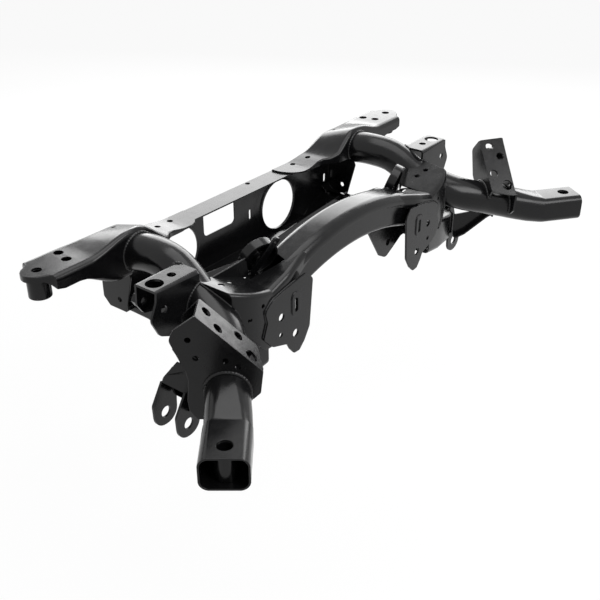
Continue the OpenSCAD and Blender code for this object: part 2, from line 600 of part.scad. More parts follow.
// Stay bracket: a sloping four hole channel that saddles the tube
stay_at = [tube_in + 87, -314.5, -28];
stay_holes = [[-7, 43, stay_bore], [10, 20, stay_bore], [-12, -16, stay_bore], [10, -42.5, stay_low_bore]];
module stay_frame() translate(stay_at) rotate([0, 0, -tube_end_angle]) rotate([stay_slope, 0, 0]) children();
module stay_wall(x, outline) stay_frame() translate([x, 0, 0]) rotate([90, 0, 90])
    linear_extrude(plate_t) polygon(rounded(outline));
module stay_bracket() color(paint_plate) difference() {
    union() {
        stay_frame() translate([0, 0, -plate_t]) linear_extrude(plate_t) polygon(rounded([
            [-stay_w / 2, stay_len / 2 - 2, 4], [-stay_w / 2, -stay_len / 2 + 8, 6],
            [stay_w / 2, -stay_len / 2 - 8, 6],
            [stay_w / 2, stay_len / 2, 4]]));
        stay_wall(stay_w / 2 - plate_t, [
            [stay_len / 2, 0, 3], [stay_len / 2 + 6, -38, 10], [stay_len / 2, -54, 12],
            [14, -74, 8], [-20, -74, 0], [-88, -44, 4], [-88, -28, 5], [-stay_len / 2 - 6, 0, 4]]);
        stay_wall(-stay_w / 2, [
            [stay_len / 2 - 2, 0, 3], [stay_len / 2 - 2, -40, 12], [12, -66, 8], [-30, -66, 0],
            [-58, -36, 4], [-stay_len / 2 + 8, 0, 4]]);
    }
    for (h = stay_holes) stay_frame() translate([h.x, h.y, -10]) cylinder(d = h.z, h = 20);
    for (p = [[42, -35], [15, -49], [-17, -24], [-36, -18]])
        stay_frame() translate([stay_w / 2 - 10, p.x, p.y]) rotate([0, 90, 0]) cylinder(d = 9, h = 20);
    tube_solid(weld_gap, 4, 8);
}

// Lower brace: a box section pressing from the link plates out to the clevis
brace_rear = -180.3;
function brace_ring(s, inset) =
    let (x = s[0], a = s[1] + inset, b = s[2] - inset, z0 = s[3] + inset, z1 = s[4] - inset, r = 11 - inset)
    [for (p = concat(
        soft_corner([a + r, z0], [a, z0], [a, z0 + r]), soft_corner([a, z1 - r], [a, z1], [a + r, z1]),
        soft_corner([b - r, z1], [b, z1], [b, z1 - r]),
        soft_corner([b, z0 + r], [b, z0], [b - r, z0]))) [x, p.x, p.y]];
clevis_front_y = brace_rear - clevis_gap + 0.7;
brace_front = -saddle_front + weld_gap;
brace_inner = link_rear_y - weld_gap;
brace_stations = [
    [clevis_x - 15, clevis_front_y, brace_rear, -192, -140],
    [link_x + 160, brace_front + 10, -190, -192, -132],
    [link_x + 106, brace_front + 3, brace_inner, -190, -122],
    [link_x + 60, brace_front, brace_inner - 5, -182, -112]];
module brace_solid(grow) skin([for (s = brace_stations) brace_ring(s, -grow)]);
module lower_brace() color(paint) difference() {
    brace_solid(0);
    skin([for (s = brace_stations)
        let (past = s[0] < link_x + 61 ? -1 : s[0] > clevis_x - 16 ? 1 : 0)
        [for (p = brace_ring(s, sheet_t)) p + [past, 0, 0]]]);
    tube_solid(weld_gap, 3, 6);
}

// Strut from the clevis forwards to the tube's underside, with a flange along its lower edge
strut_plan = 58;
strut_outline = [[0, -154, 4], [0, -206, 6], [24, -192, 20], [66, -152, 20], [92, -134, 0], [92, -96, 0],
    [60, -104, 0], [32, -146, 10]];
module strut_frame() translate([clevis_x - 9, clevis_front_y - plate_t - 3 * weld_gap, 0])
    rotate([0, 0, -strut_plan]) rotate([90, 0, 0]) children();
module brace_strut() color(paint) difference() {
    strut_frame() {
        linear_extrude(sheet_t) polygon(rounded(strut_outline));
        linear_extrude(18) difference() {
            polygon(rounded(strut_outline));
            translate([-1, sheet_t]) polygon(rounded(strut_outline));
            translate([-2, -130]) square([100, 60]);
        }
    }
    tube_solid(weld_gap, 4, 7);
    translate([clevis_x - 90, clevis_front_y - plate_t - 2 * weld_gap, -300]) cube([180, 100, 300]);
}

// Outer clevis: one folded pressing with two ears and a sloping cover between them
clevis_top = -124;
module clevis_outline() polygon(rounded([
    [clevis_x - 36, -150, 4], [clevis_x - 16, clevis_top, 4], [clevis_x + 3, -161, 8],
    [clevis_x + 25, -196, 10], [clevis_x + clevis_r, -clevis_z - clevis_r, clevis_r - 0.5],
    [clevis_x - clevis_r, -clevis_z - clevis_r, clevis_r - 0.5], [clevis_x - 25, -196, 10]]));
module lower_clevis() color(paint_plate) difference() {
    union() {
        upright(brace_rear + weld_gap, plate_t) clevis_outline();
        upright(clevis_front_y - weld_gap - plate_t, plate_t) clevis_outline();
        upright(clevis_front_y - weld_gap - plate_t, brace_rear - clevis_front_y + 2 * plate_t)
            intersection() {
                clevis_outline();
                polygon([[clevis_x - 17, clevis_top + 1], [clevis_x + 4, -161], [clevis_x - 1, -165],
                    [clevis_x - 15, -137]]);
            }
    }
    cross_hole(clevis_x, clevis_front_y - plate_t - 2, -clevis_z, clevis_bore, 80);
    translate([clevis_x - 60, brace_rear - 20, clevis_top + 3]) rotate([-58, 0, 0]) cube([120, 60, 40]);
    brace_solid(weld_gap);
}

// Bush ring with its toe, and the stopper: a disc set back in the ring, a boss and a strap across its mouth
bush_at = [202, -205, -28];
module bush_frame() translate(bush_at) rotate([0, 0, bush_toe]) rotate([90 + bush_dip, 0, 0]) children();
module bush_ring() color(paint) bush_frame() translate([0, 0, -bush_len]) difference() {
    cylinder(d = bush_od, h = bush_len);
    translate([0, 0, -1]) cylinder(d = bush_bore, h = bush_len + 2);
}
strap_turn = 118;
strap_w = 14;
strap_up = 47;
strap_down = 30;
stopper_back = 11;
module bush_stopper() color(paint_plate) bush_frame() difference() {
    union() {
        translate([0, 0, -stopper_back]) cylinder(d = bush_bore - 2 * weld_gap, h = sheet_t);
        translate([0, 0, -stopper_back]) cylinder(d = bush_bore / 3, h = stopper_back + weld_gap + eps);
        rotate(strap_turn) translate([0, 0, weld_gap]) linear_extrude(plate_t) polygon(rounded([
            [-strap_down, -strap_w / 2, 5], [strap_up, -strap_w / 2, 5], [strap_up, strap_w / 2, 5],
            [-strap_down, strap_w / 2, 5]]));
    }
    rotate(strap_turn) translate([strap_up - 8, 0, -1]) cylinder(d = 5, h = plate_t + 2);
}

// Weld nuts behind the bolt holes of the link brackets
module hex_nut(d, h, bore) difference() {
    cylinder(d = d, h = h, $fn = 6);
    translate([0, 0, -1]) cylinder(d = bore, h = h + 2);
}
nut_h = 11;
module nuts_of_side() {
    translate([link_x, link_rear_y + plate_t + weld_gap, -link_z]) rotate([-90, 0, 0])
        hex_nut(2 * link_bore, nut_h, link_bore);
    translate([upper_at, upper_front_y + 2 * plate_t + upper_gap + weld_gap, -upper_z]) rotate([-90, 0, 0])
        hex_nut(2 * upper_bore, nut_h, upper_bore);
}
module weld_nuts() color(paint) for (m = [0, 1]) mirror([m, 0, 0]) nuts_of_side();

// The right side is the mirror image of the left
module right() mirror([1, 0, 0]) children();

rear_crossmember();
arch_upper_shell();
arch_lower_shell();
arm_upper();  // left_arm_upper
right() arm_upper();  // right_arm_upper
arm_lower();  // left_arm_lower
right() arm_lower();  // right_arm_lower
mount_sleeve();  // left_mount_sleeve
right() mount_sleeve();  // right_mount_sleeve
side_tube();  // left_side_tube
right() side_tube();  // right_side_tube
crush_sleeve();  // left_crush_sleeve
right() crush_sleeve();  // right_crush_sleeve
saddle_plate();  // left_saddle_plate
right() saddle_plate();  // right_saddle_plate
link_plate_front();  // left_link_plate_front
right() link_plate_front();  // right_link_plate_front
link_plate_rear();  // left_link_plate_rear
right() link_plate_rear();  // right_link_plate_rear
upper_link_bracket();  // left_upper_link_bracket
right() upper_link_bracket();  // right_upper_link_bracket
stay_bracket();  // left_stay_bracket
right() stay_bracket();  // right_stay_bracket
lower_brace();  // left_lower_brace
right() lower_brace();  // right_lower_brace
brace_strut();  // left_brace_strut
right() brace_strut();  // right_brace_strut
lower_clevis();  // left_lower_clevis
right() lower_clevis();  // right_lower_clevis
bush_ring();  // left_bush_ring
right() bush_ring();  // right_bush_ring
bush_stopper();  // left_bush_stopper
right() bush_stopper();  // right_bush_stopper
weld_nuts();
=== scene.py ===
"""Looks of a welded rear suspension subframe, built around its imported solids.

The CAD nodes stay where they are. This script rounds their edges, coats them in satin black,
adds the formed sheets that the solids leave plain, lays weld beads along the seams where pieces
meet, and sets up the studio and the camera.
"""

import logging
import math
from dataclasses import dataclass, field
from enum import Enum
from typing import ClassVar, Iterator, Sequence

import bmesh
import bpy
from mathutils import Matrix, Vector
from mathutils.bvhtree import BVHTree


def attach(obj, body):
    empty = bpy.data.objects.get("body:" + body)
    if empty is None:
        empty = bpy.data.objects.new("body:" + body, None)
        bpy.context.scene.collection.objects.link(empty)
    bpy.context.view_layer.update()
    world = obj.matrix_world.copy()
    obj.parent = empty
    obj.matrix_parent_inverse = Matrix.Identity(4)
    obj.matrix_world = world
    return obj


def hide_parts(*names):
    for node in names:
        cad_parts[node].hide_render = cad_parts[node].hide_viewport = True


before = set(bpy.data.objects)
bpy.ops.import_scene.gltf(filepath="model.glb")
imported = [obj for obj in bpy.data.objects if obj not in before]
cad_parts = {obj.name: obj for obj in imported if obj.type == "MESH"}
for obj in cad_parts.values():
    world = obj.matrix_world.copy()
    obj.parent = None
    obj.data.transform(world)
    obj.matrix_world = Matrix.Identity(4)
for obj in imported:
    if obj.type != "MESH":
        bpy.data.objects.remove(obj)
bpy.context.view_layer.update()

LOG = logging.getLogger("subframe")
BODY = "root"
MM = 0.001
# Points that lie nearer to each other than this are one point, in built meshes and in dressed nodes.
MERGE = 0.01 * MM
NODE_MERGE = 0.02 * MM
# Faces that turn less than this from one to the next count as one flat face.
FLAT_ANGLE = math.radians(0.6)
# Edges that turn more than this are rounded, in so many steps.
EDGE_ANGLE = math.radians(38)
EDGE_SEGMENTS = 2
# How far the shading follows the large faces.
FACE_WEIGHT = 60
# Shortest length that is divided by.
TINY = 1e-9
UP = Vector((0, 0, 1))
DOWN = Vector((0, 0, -1))

Polyline = list[Vector]
Place = tuple[float, float, float]
Colour = tuple[float, float, float]
Pair = tuple[float, float]


class Side(Enum):
    """The two sides of the vehicle; the value is the sign of X there."""

    LEFT = 1
    RIGHT = -1

    def node(self, name: str) -> str:
        """Name of a piece of a pair on this side."""
        return f"{self.name.lower()}_{name}"


@dataclass(frozen=True)
class DipCoat:
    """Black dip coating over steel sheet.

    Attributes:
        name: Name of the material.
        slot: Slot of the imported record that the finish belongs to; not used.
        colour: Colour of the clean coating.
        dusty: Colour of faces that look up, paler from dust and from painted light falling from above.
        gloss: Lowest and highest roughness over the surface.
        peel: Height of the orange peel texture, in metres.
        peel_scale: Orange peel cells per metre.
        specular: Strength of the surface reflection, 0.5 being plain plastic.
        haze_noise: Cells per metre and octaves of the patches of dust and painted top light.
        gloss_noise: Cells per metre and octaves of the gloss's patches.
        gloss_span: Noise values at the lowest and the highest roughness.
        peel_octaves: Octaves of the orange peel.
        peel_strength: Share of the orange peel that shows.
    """

    name: str
    slot: str
    colour: Colour
    # Paler colour of up-facing faces: dust, and painted light from above.
    dusty: Colour
    gloss: Pair
    peel: float = 0.00012
    peel_scale: float = 420.0
    specular: float = 0.26
    haze_noise: ClassVar[Pair] = (26.0, 5.0)
    gloss_noise: ClassVar[Pair] = (60.0, 4.0)
    gloss_span: ClassVar[Pair] = (0.3, 0.7)
    peel_octaves: ClassVar[float] = 2.0
    peel_strength: ClassVar[float] = 0.6

    def material(self) -> bpy.types.Material:
        """Builds the node material, or returns the one already built.

        Returns:
            The material of this finish.
        """
        made = bpy.data.materials.get(self.name)
        if made:
            return made
        made = bpy.data.materials.new(self.name)
        made.use_nodes = True
        tree = made.node_tree
        tree.nodes.clear()
        out = tree.nodes.new("ShaderNodeOutputMaterial")
        paint = tree.nodes.new("ShaderNodeBsdfPrincipled")
        paint.inputs["Specular IOR Level"].default_value = self.specular
        tree.links.new(paint.outputs["BSDF"], out.inputs["Surface"])
        tree.links.new(self._haze(tree), paint.inputs["Base Color"])
        tree.links.new(self._patchy_gloss(tree), paint.inputs["Roughness"])
        tree.links.new(self._orange_peel(tree), paint.inputs["Normal"])
        return made

    def _noise(self, tree: bpy.types.NodeTree, scale: float, detail: float) -> bpy.types.NodeSocket:
        """Adds a noise texture in the part's own coordinates.

        Args:
            tree: Node tree to add to.
            scale: Cells per metre.
            detail: Number of octaves.

        Returns:
            The noise value's socket.
        """
        place = tree.nodes.new("ShaderNodeTexCoord")
        noise = tree.nodes.new("ShaderNodeTexNoise")
        noise.inputs["Scale"].default_value = scale
        noise.inputs["Detail"].default_value = detail
        tree.links.new(place.outputs["Object"], noise.inputs["Vector"])
        return noise.outputs["Fac"]

    def _haze(self, tree: bpy.types.NodeTree) -> bpy.types.NodeSocket:
        """Adds the colour, a little paler on faces that look up, for dust and for painted light from above.

        Args:
            tree: Node tree to add to.

        Returns:
            The colour socket.
        """
        facing = tree.nodes.new("ShaderNodeNewGeometry")
        split = tree.nodes.new("ShaderNodeSeparateXYZ")
        tree.links.new(facing.outputs["Normal"], split.inputs["Vector"])
        # Mask of up-facing faces in noisy patches: dust, with painted light from above on the tops.
        dust_and_top_light_mask = tree.nodes.new("ShaderNodeMath")
        dust_and_top_light_mask.operation = "MULTIPLY"
        dust_and_top_light_mask.use_clamp = True
        tree.links.new(split.outputs["Z"], dust_and_top_light_mask.inputs[0])
        tree.links.new(self._noise(tree, *self.haze_noise), dust_and_top_light_mask.inputs[1])
        blend = tree.nodes.new("ShaderNodeMix")
        blend.data_type = "RGBA"
        blend.inputs["A"].default_value = (*self.colour, 1.0)
        blend.inputs["B"].default_value = (*self.dusty, 1.0)
        tree.links.new(dust_and_top_light_mask.outputs["Value"], blend.inputs["Factor"])
        return blend.outputs["Result"]

    def _patchy_gloss(self, tree: bpy.types.NodeTree) -> bpy.types.NodeSocket:
        """Adds a roughness that wanders between the finish's two limits.

        Args:
            tree: Node tree to add to.

        Returns:
            The roughness socket.
        """
        spread = tree.nodes.new("ShaderNodeMapRange")
        spread.inputs["From Min"].default_value = self.gloss_span[0]
        spread.inputs["From Max"].default_value = self.gloss_span[1]
        spread.inputs["To Min"].default_value = self.gloss[0]
        spread.inputs["To Max"].default_value = self.gloss[1]
        tree.links.new(self._noise(tree, *self.gloss_noise), spread.inputs["Value"])
        return spread.outputs["Result"]

    def _orange_peel(self, tree: bpy.types.NodeTree) -> bpy.types.NodeSocket:
        """Adds the fine orange peel of the coating.

        Args:
            tree: Node tree to add to.

        Returns:
            The normal socket.
        """
        bump = tree.nodes.new("ShaderNodeBump")
        bump.inputs["Distance"].default_value = self.peel
        bump.inputs["Strength"].default_value = self.peel_strength
        tree.links.new(self._noise(tree, self.peel_scale, self.peel_octaves), bump.inputs["Height"])
        return bump.outputs["Normal"]


class Finish(Enum):
    """The finishes that the pieces take."""

    # Each dusty colour paints dust and light from above on the faces that look up.
    PRESSING = DipCoat(
        name="pressing_satin",
        slot="coat",
        colour=(0.0034, 0.0034, 0.0038),
        dusty=(0.007, 0.007, 0.0075),
        gloss=(0.15, 0.25),
    )
    PLATE = DipCoat(
        name="plate_satin",
        slot="plate_coat",
        colour=(0.0036, 0.0036, 0.004),
        dusty=(0.0075, 0.0075, 0.008),
        gloss=(0.18, 0.28),
    )
    WELD = DipCoat(
        name="weld_satin",
        slot="coat",
        colour=(0.004, 0.004, 0.0044),
        dusty=(0.008, 0.008, 0.0085),
        gloss=(0.18, 0.3),
        peel=0.0003,
        peel_scale=260.0,
    )


class Welder:
    """Finds the seams where two CAD nodes meet and lays weld beads along them.

    Attributes:
        near: Largest gap between two nodes at a seam.
        sharp: Smallest angle of an edge that can carry a bead.
        shortest: Shortest seam that is welded.
        step: Distance between a bead's rings.
        fewest: Fewest steps along a bead.
        smoothing: How often a seam's points are evened out.
        sides: Sides of a bead's ring.
        valley: Share of the bead's radius that is left between two ripples.
        tip: Share of its section that a bead has at its ends.
    """

    near: ClassVar[float] = 0.9 * MM
    sharp: ClassVar[float] = math.radians(28)
    shortest: ClassVar[float] = 14 * MM
    step: ClassVar[float] = 1.1 * MM
    fewest: ClassVar[int] = 4
    smoothing: ClassVar[int] = 2
    sides: ClassVar[int] = 8
    valley: ClassVar[float] = 0.82
    tip: ClassVar[float] = 0.15

    def __init__(self) -> None:
        """Starts with no node looked at yet."""
        self._trees: dict[str, BVHTree] = {}
        self._meshes: dict[str, bmesh.types.BMesh] = {}

    def _mesh(self, node: str) -> bmesh.types.BMesh:
        """The node's own mesh with its doubled points merged."""
        if node not in self._meshes:
            mesh = bmesh.new()
            mesh.from_mesh(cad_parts[node].data)
            bmesh.ops.remove_doubles(mesh, verts=mesh.verts, dist=MERGE)
            self._meshes[node] = mesh
        return self._meshes[node]

    def tree(self, node: str) -> BVHTree:
        """The node's faces, ready for distance queries."""
        if node not in self._trees:
            self._trees[node] = BVHTree.FromBMesh(self._mesh(node))
        return self._trees[node]

    def seams(self, edge_of: str, against: str) -> list[Polyline]:
        """Traces the sharp edges of one node that lie against another node.

        Args:
            edge_of: Node whose edges are followed.
            against: Node that the edges lie against.

        Returns:
            The seams as lists of points.
        """
        tree = self.tree(against)
        mesh = self._mesh(edge_of)
        close = {v for v in mesh.verts if tree.find_nearest(v.co, self.near)[0] is not None}
        links: dict[bmesh.types.BMVert, list[bmesh.types.BMVert]] = {}
        for edge in mesh.edges:
            a, b = edge.verts
            if a in close and b in close and edge.calc_face_angle(0.0) > self.sharp:
                links.setdefault(a, []).append(b)
                links.setdefault(b, []).append(a)
        return [line for line in self._chains(links) if self.length(line) > self.shortest]

    @staticmethod
    def length(line: Polyline) -> float:
        """Length of a polyline."""
        return sum((b - a).length for a, b in zip(line, line[1:]))

    @staticmethod
    def _chains(links: dict[bmesh.types.BMVert, list[bmesh.types.BMVert]]) -> Iterator[Polyline]:
        """Walks linked points into polylines, open ones first.

        Args:
            links: Neighbours of each point.

        Yields:
            Each polyline's points.
        """
        used: set[frozenset[bmesh.types.BMVert]] = set()
        starts = sorted(links, key=lambda v: (len(links[v]) == 2, v.index))
        for start in starts:
            for first in links[start]:
                if frozenset((start, first)) in used:
                    continue
                line = [start.co.copy()]
                here = first
                used.add(frozenset((start, first)))
                while True:
                    line.append(here.co.copy())
                    onward = [v for v in links[here] if frozenset((here, v)) not in used]
                    if len(links[here]) != 2 or not onward:
                        break
                    used.add(frozenset((here, onward[0])))
                    here = onward[0]
                yield line

    def _evenly(self, line: Polyline) -> Polyline:
        """Sets points along a polyline at even steps and smooths them.

        Args:
            line: Points of the seam.

        Returns:
            Evenly spaced points.
        """
        total = self.length(line)
        count = max(self.fewest, int(total / self.step))
        points = []
        walked = 0.0
        i = 0
        for k in range(count + 1):
            goal = total * k / count
            while i < len(line) - 2 and walked + (line[i + 1] - line[i]).length < goal:
                walked += (line[i + 1] - line[i]).length
                i += 1
            share = (goal - walked) / max((line[i + 1] - line[i]).length, TINY)
            points.append(line[i].lerp(line[i + 1], min(max(share, 0.0), 1.0)))
        for _ in range(self.smoothing):
            inner = [(a + b * 2 + c) / 4 for a, b, c in zip(points, points[1:], points[2:])]
            points = [points[0], *inner, points[-1]]
        return points

    def lay(
        self, name: str, lines: Sequence[Polyline], radius: float, pitch: float
    ) -> bpy.types.Object | None:
        """Lays a rippled bead along each seam and joins the beads in one piece.

        Args:
            name: Name of the piece.
            lines: Seams to follow.
            radius: Radius of the bead.
            pitch: Distance between the bead's ripples.

        Returns:
            The piece, or None where there is no seam.
        """
        if not lines:
            LOG.warning("%s has no seam", name)
            return None
        mesh = bmesh.new()
        for line in lines:
            self._sweep(mesh, self._evenly(line), radius, pitch)
        LOG.info("%s: %d seams", name, len(lines))
        return add_piece(name, mesh, Finish.WELD)

    def _sweep(self, mesh: bmesh.types.BMesh, points: Polyline, radius: float, pitch: float) -> None:
        """Adds one bead to a mesh: rings along the points, with ripples and tapered ends.

        Args:
            mesh: Mesh to add to.
            points: Centre points of the bead.
            radius: Radius of the bead.
            pitch: Distance between ripples.
        """
        across = (points[1] - points[0]).orthogonal().normalized()
        turns = [2 * math.pi * k / self.sides for k in range(self.sides)]
        rings = []
        walked = 0.0
        for i, centre in enumerate(points):
            ahead = (points[min(i + 1, len(points) - 1)] - points[max(i - 1, 0)]).normalized()
            across = (across - ahead * across.dot(ahead)).normalized()
            upright = ahead.cross(across)
            walked += (centre - points[max(i - 1, 0)]).length
            end = min(i, len(points) - 1 - i) * self.step / radius
            ripple = self.valley + (1.0 - self.valley) * abs(math.sin(math.pi * walked / pitch))
            r = radius * ripple * math.sqrt(min(1.0, self.tip + end))
            rays = [across * math.cos(t) + upright * math.sin(t) for t in turns]
            rings.append([mesh.verts.new(centre + ray * r) for ray in rays])
        for a, b in zip(rings, rings[1:]):
            for k in range(self.sides):
                n = (k + 1) % self.sides
                mesh.faces.new((a[k], a[n], b[n], b[k]))
        mesh.faces.new(list(reversed(rings[0])))
        mesh.faces.new(rings[-1])


def add_piece(name: str, mesh: bmesh.types.BMesh, finish: Finish) -> bpy.types.Object:
    """Turns a mesh under construction into a piece of the part.

    Args:
        name: Name of the piece.
        mesh: Mesh of the piece, which is freed here.
        finish: Finish that it takes.

    Returns:
        The piece, riding on the part.
    """
    data = bpy.data.meshes.new(name)
    mesh.to_mesh(data)
    mesh.free()
    data.polygons.foreach_set("use_smooth", [True] * len(data.polygons))
    piece = bpy.data.objects.new(name, data)
    bpy.context.scene.collection.objects.link(piece)
    data.materials.append(finish.value.material())
    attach(piece, BODY)
    LOG.info("%s made in %s", name, finish.value.name)
    return piece


def soften(piece: bpy.types.Object, edge: float, held: bool = False) -> None:
    """Rounds a piece's sharp edges and evens its shading.

    Args:
        piece: Piece to round.
        edge: Width of the rounding; none at 0.
        held: Keeps the rounding within the piece's shortest edges.
    """
    if edge > 0:
        round_off = piece.modifiers.new("soft_edges", "BEVEL")
        round_off.width = edge
        round_off.segments = EDGE_SEGMENTS
        round_off.limit_method = "ANGLE"
        round_off.angle_limit = EDGE_ANGLE
        round_off.use_clamp_overlap = held
    shade = piece.modifiers.new("face_normals", "WEIGHTED_NORMAL")
    shade.keep_sharp = False
    shade.weight = FACE_WEIGHT


def span(mesh: bmesh.types.BMesh, grid: Sequence[Sequence[bmesh.types.BMVert]]) -> None:
    """Spans faces over rows of points.

    Args:
        mesh: Mesh to add to.
        grid: Rows of the same number of points.
    """
    for a, b in zip(grid, grid[1:]):
        for k in range(len(a) - 1):
            mesh.faces.new((a[k], a[k + 1], b[k + 1], b[k]))


def skin(mesh: bmesh.types.BMesh, grid: Sequence[Sequence[bmesh.types.BMVert]], outside: Vector) -> None:
    """Spans faces over rows of points and turns them to the outside.

    Args:
        mesh: Empty mesh to add to.
        grid: Rows of the same number of points.
        outside: Direction that the faces look on the whole.
    """
    span(mesh, grid)
    mesh.normal_update()
    if sum(f.normal.dot(outside) for f in mesh.faces) < 0:
        bmesh.ops.reverse_faces(mesh, faces=mesh.faces)


def thicken(piece: bpy.types.Object, sheet: float) -> None:
    """Gives a surface the thickness of its sheet, on the inside.

    Args:
        piece: Surface to thicken.
        sheet: Thickness of the sheet.
    """
    thick = piece.modifiers.new("sheet", "SOLIDIFY")
    thick.thickness = sheet
    thick.offset = -1.0


@dataclass(frozen=True)
class FoldedSheet:
    """A bent plate whose folds are rounded as a press brake leaves them.

    Attributes:
        node: CAD node that the plate stands for.
        outside: Radius on the outside of the folds.
        inside: Radius on the inside of the folds.
        edge: Rounding of the plate's cut edges.
        broad: Smallest area of a flat face that can end in a fold.
        turn: Smallest angle that counts as a fold.
        level: Largest angle between two faces of one flat.
        steps: Faces across a fold.
        stray: How far off the sheet a point may stand.
        sliver: Shortest edge that is kept after folding.
    """

    node: str
    outside: float = 6.0 * MM
    inside: float = 2.0 * MM
    edge: float = 0.7 * MM
    broad: float = 9e-4
    turn: float = math.radians(40)
    level: float = math.radians(1.0)
    steps: int = 5
    stray: float = 0.9 * MM
    sliver: float = 0.03 * MM

    def build(self, finish: Finish) -> bpy.types.Object:
        """Makes the plate with round folds in place of its node.

        Args:
            finish: Finish that it takes.

        Returns:
            The plate.
        """
        mesh = bmesh.new()
        mesh.from_mesh(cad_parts[self.node].data)
        bmesh.ops.remove_doubles(mesh, verts=mesh.verts, dist=MERGE)
        bmesh.ops.dissolve_limit(mesh, angle_limit=FLAT_ANGLE, verts=mesh.verts, edges=mesh.edges)
        flats = self._flats(mesh)
        folds = [edge for edge in mesh.edges if self._is_fold(edge, flats)]
        for convex, radius in ((False, self.inside), (True, self.outside)):
            picked = [e for e in folds if e.is_valid and e.is_convex == convex]
            if picked:
                bmesh.ops.bevel(
                    mesh,
                    geom=picked,
                    offset=radius,
                    offset_type="OFFSET",
                    segments=self.steps,
                    profile=0.5,
                    affect="EDGES",
                    clamp_overlap=False,
                )
        self._pull_in(mesh)
        LOG.info("%s: %d folds", self.node, len(folds))
        piece = add_piece(f"{self.node}_formed", mesh, finish)
        soften(piece, self.edge, held=True)
        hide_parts(self.node)
        return piece

    def _pull_in(self, mesh: bmesh.types.BMesh) -> None:
        """Sets points that a fold threw off the sheet back onto it.

        Args:
            mesh: Mesh of the folded plate.
        """
        sheet = bmesh.new()
        sheet.from_mesh(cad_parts[self.node].data)
        tree = BVHTree.FromBMesh(sheet)
        for point in mesh.verts:
            spot, normal, _, away = tree.find_nearest(point.co)
            if away > self.stray and (point.co - spot).dot(normal) > 0:
                point.co = spot
        sheet.free()
        bmesh.ops.remove_doubles(mesh, verts=mesh.verts, dist=self.sliver)
        bmesh.ops.dissolve_degenerate(mesh, dist=self.sliver, edges=mesh.edges)

    def _is_fold(self, edge: bmesh.types.BMEdge, flats: dict[bmesh.types.BMFace, float]) -> bool:
        """Tells whether an edge lies between two broad flats.

        Args:
            edge: Edge to look at.
            flats: Area of the whole flat that each face belongs to.

        Returns:
            True where the sheet folds.
        """
        if len(edge.link_faces) != 2 or edge.calc_face_angle(0.0) <= self.turn:
            return False
        return all(flats[face] > self.broad for face in edge.link_faces)

    def _flats(self, mesh: bmesh.types.BMesh) -> dict[bmesh.types.BMFace, float]:
        """Measures the flats of a plate.

        Args:
            mesh: Mesh of the plate.

        Returns:
            Area of the whole flat that each face belongs to.
        """
        areas: dict[bmesh.types.BMFace, float] = {}
        for seed in mesh.faces:
            if seed in areas:
                continue
            flat = {seed}
            todo = [seed]
            while todo:
                for edge in todo.pop().edges:
                    if edge.calc_face_angle(1.0) < self.level:
                        fresh = [f for f in edge.link_faces if f not in flat]
                        flat.update(fresh)
                        todo.extend(fresh)
            total = sum(f.calc_area() for f in flat)
            areas.update({f: total for f in flat})
        return areas


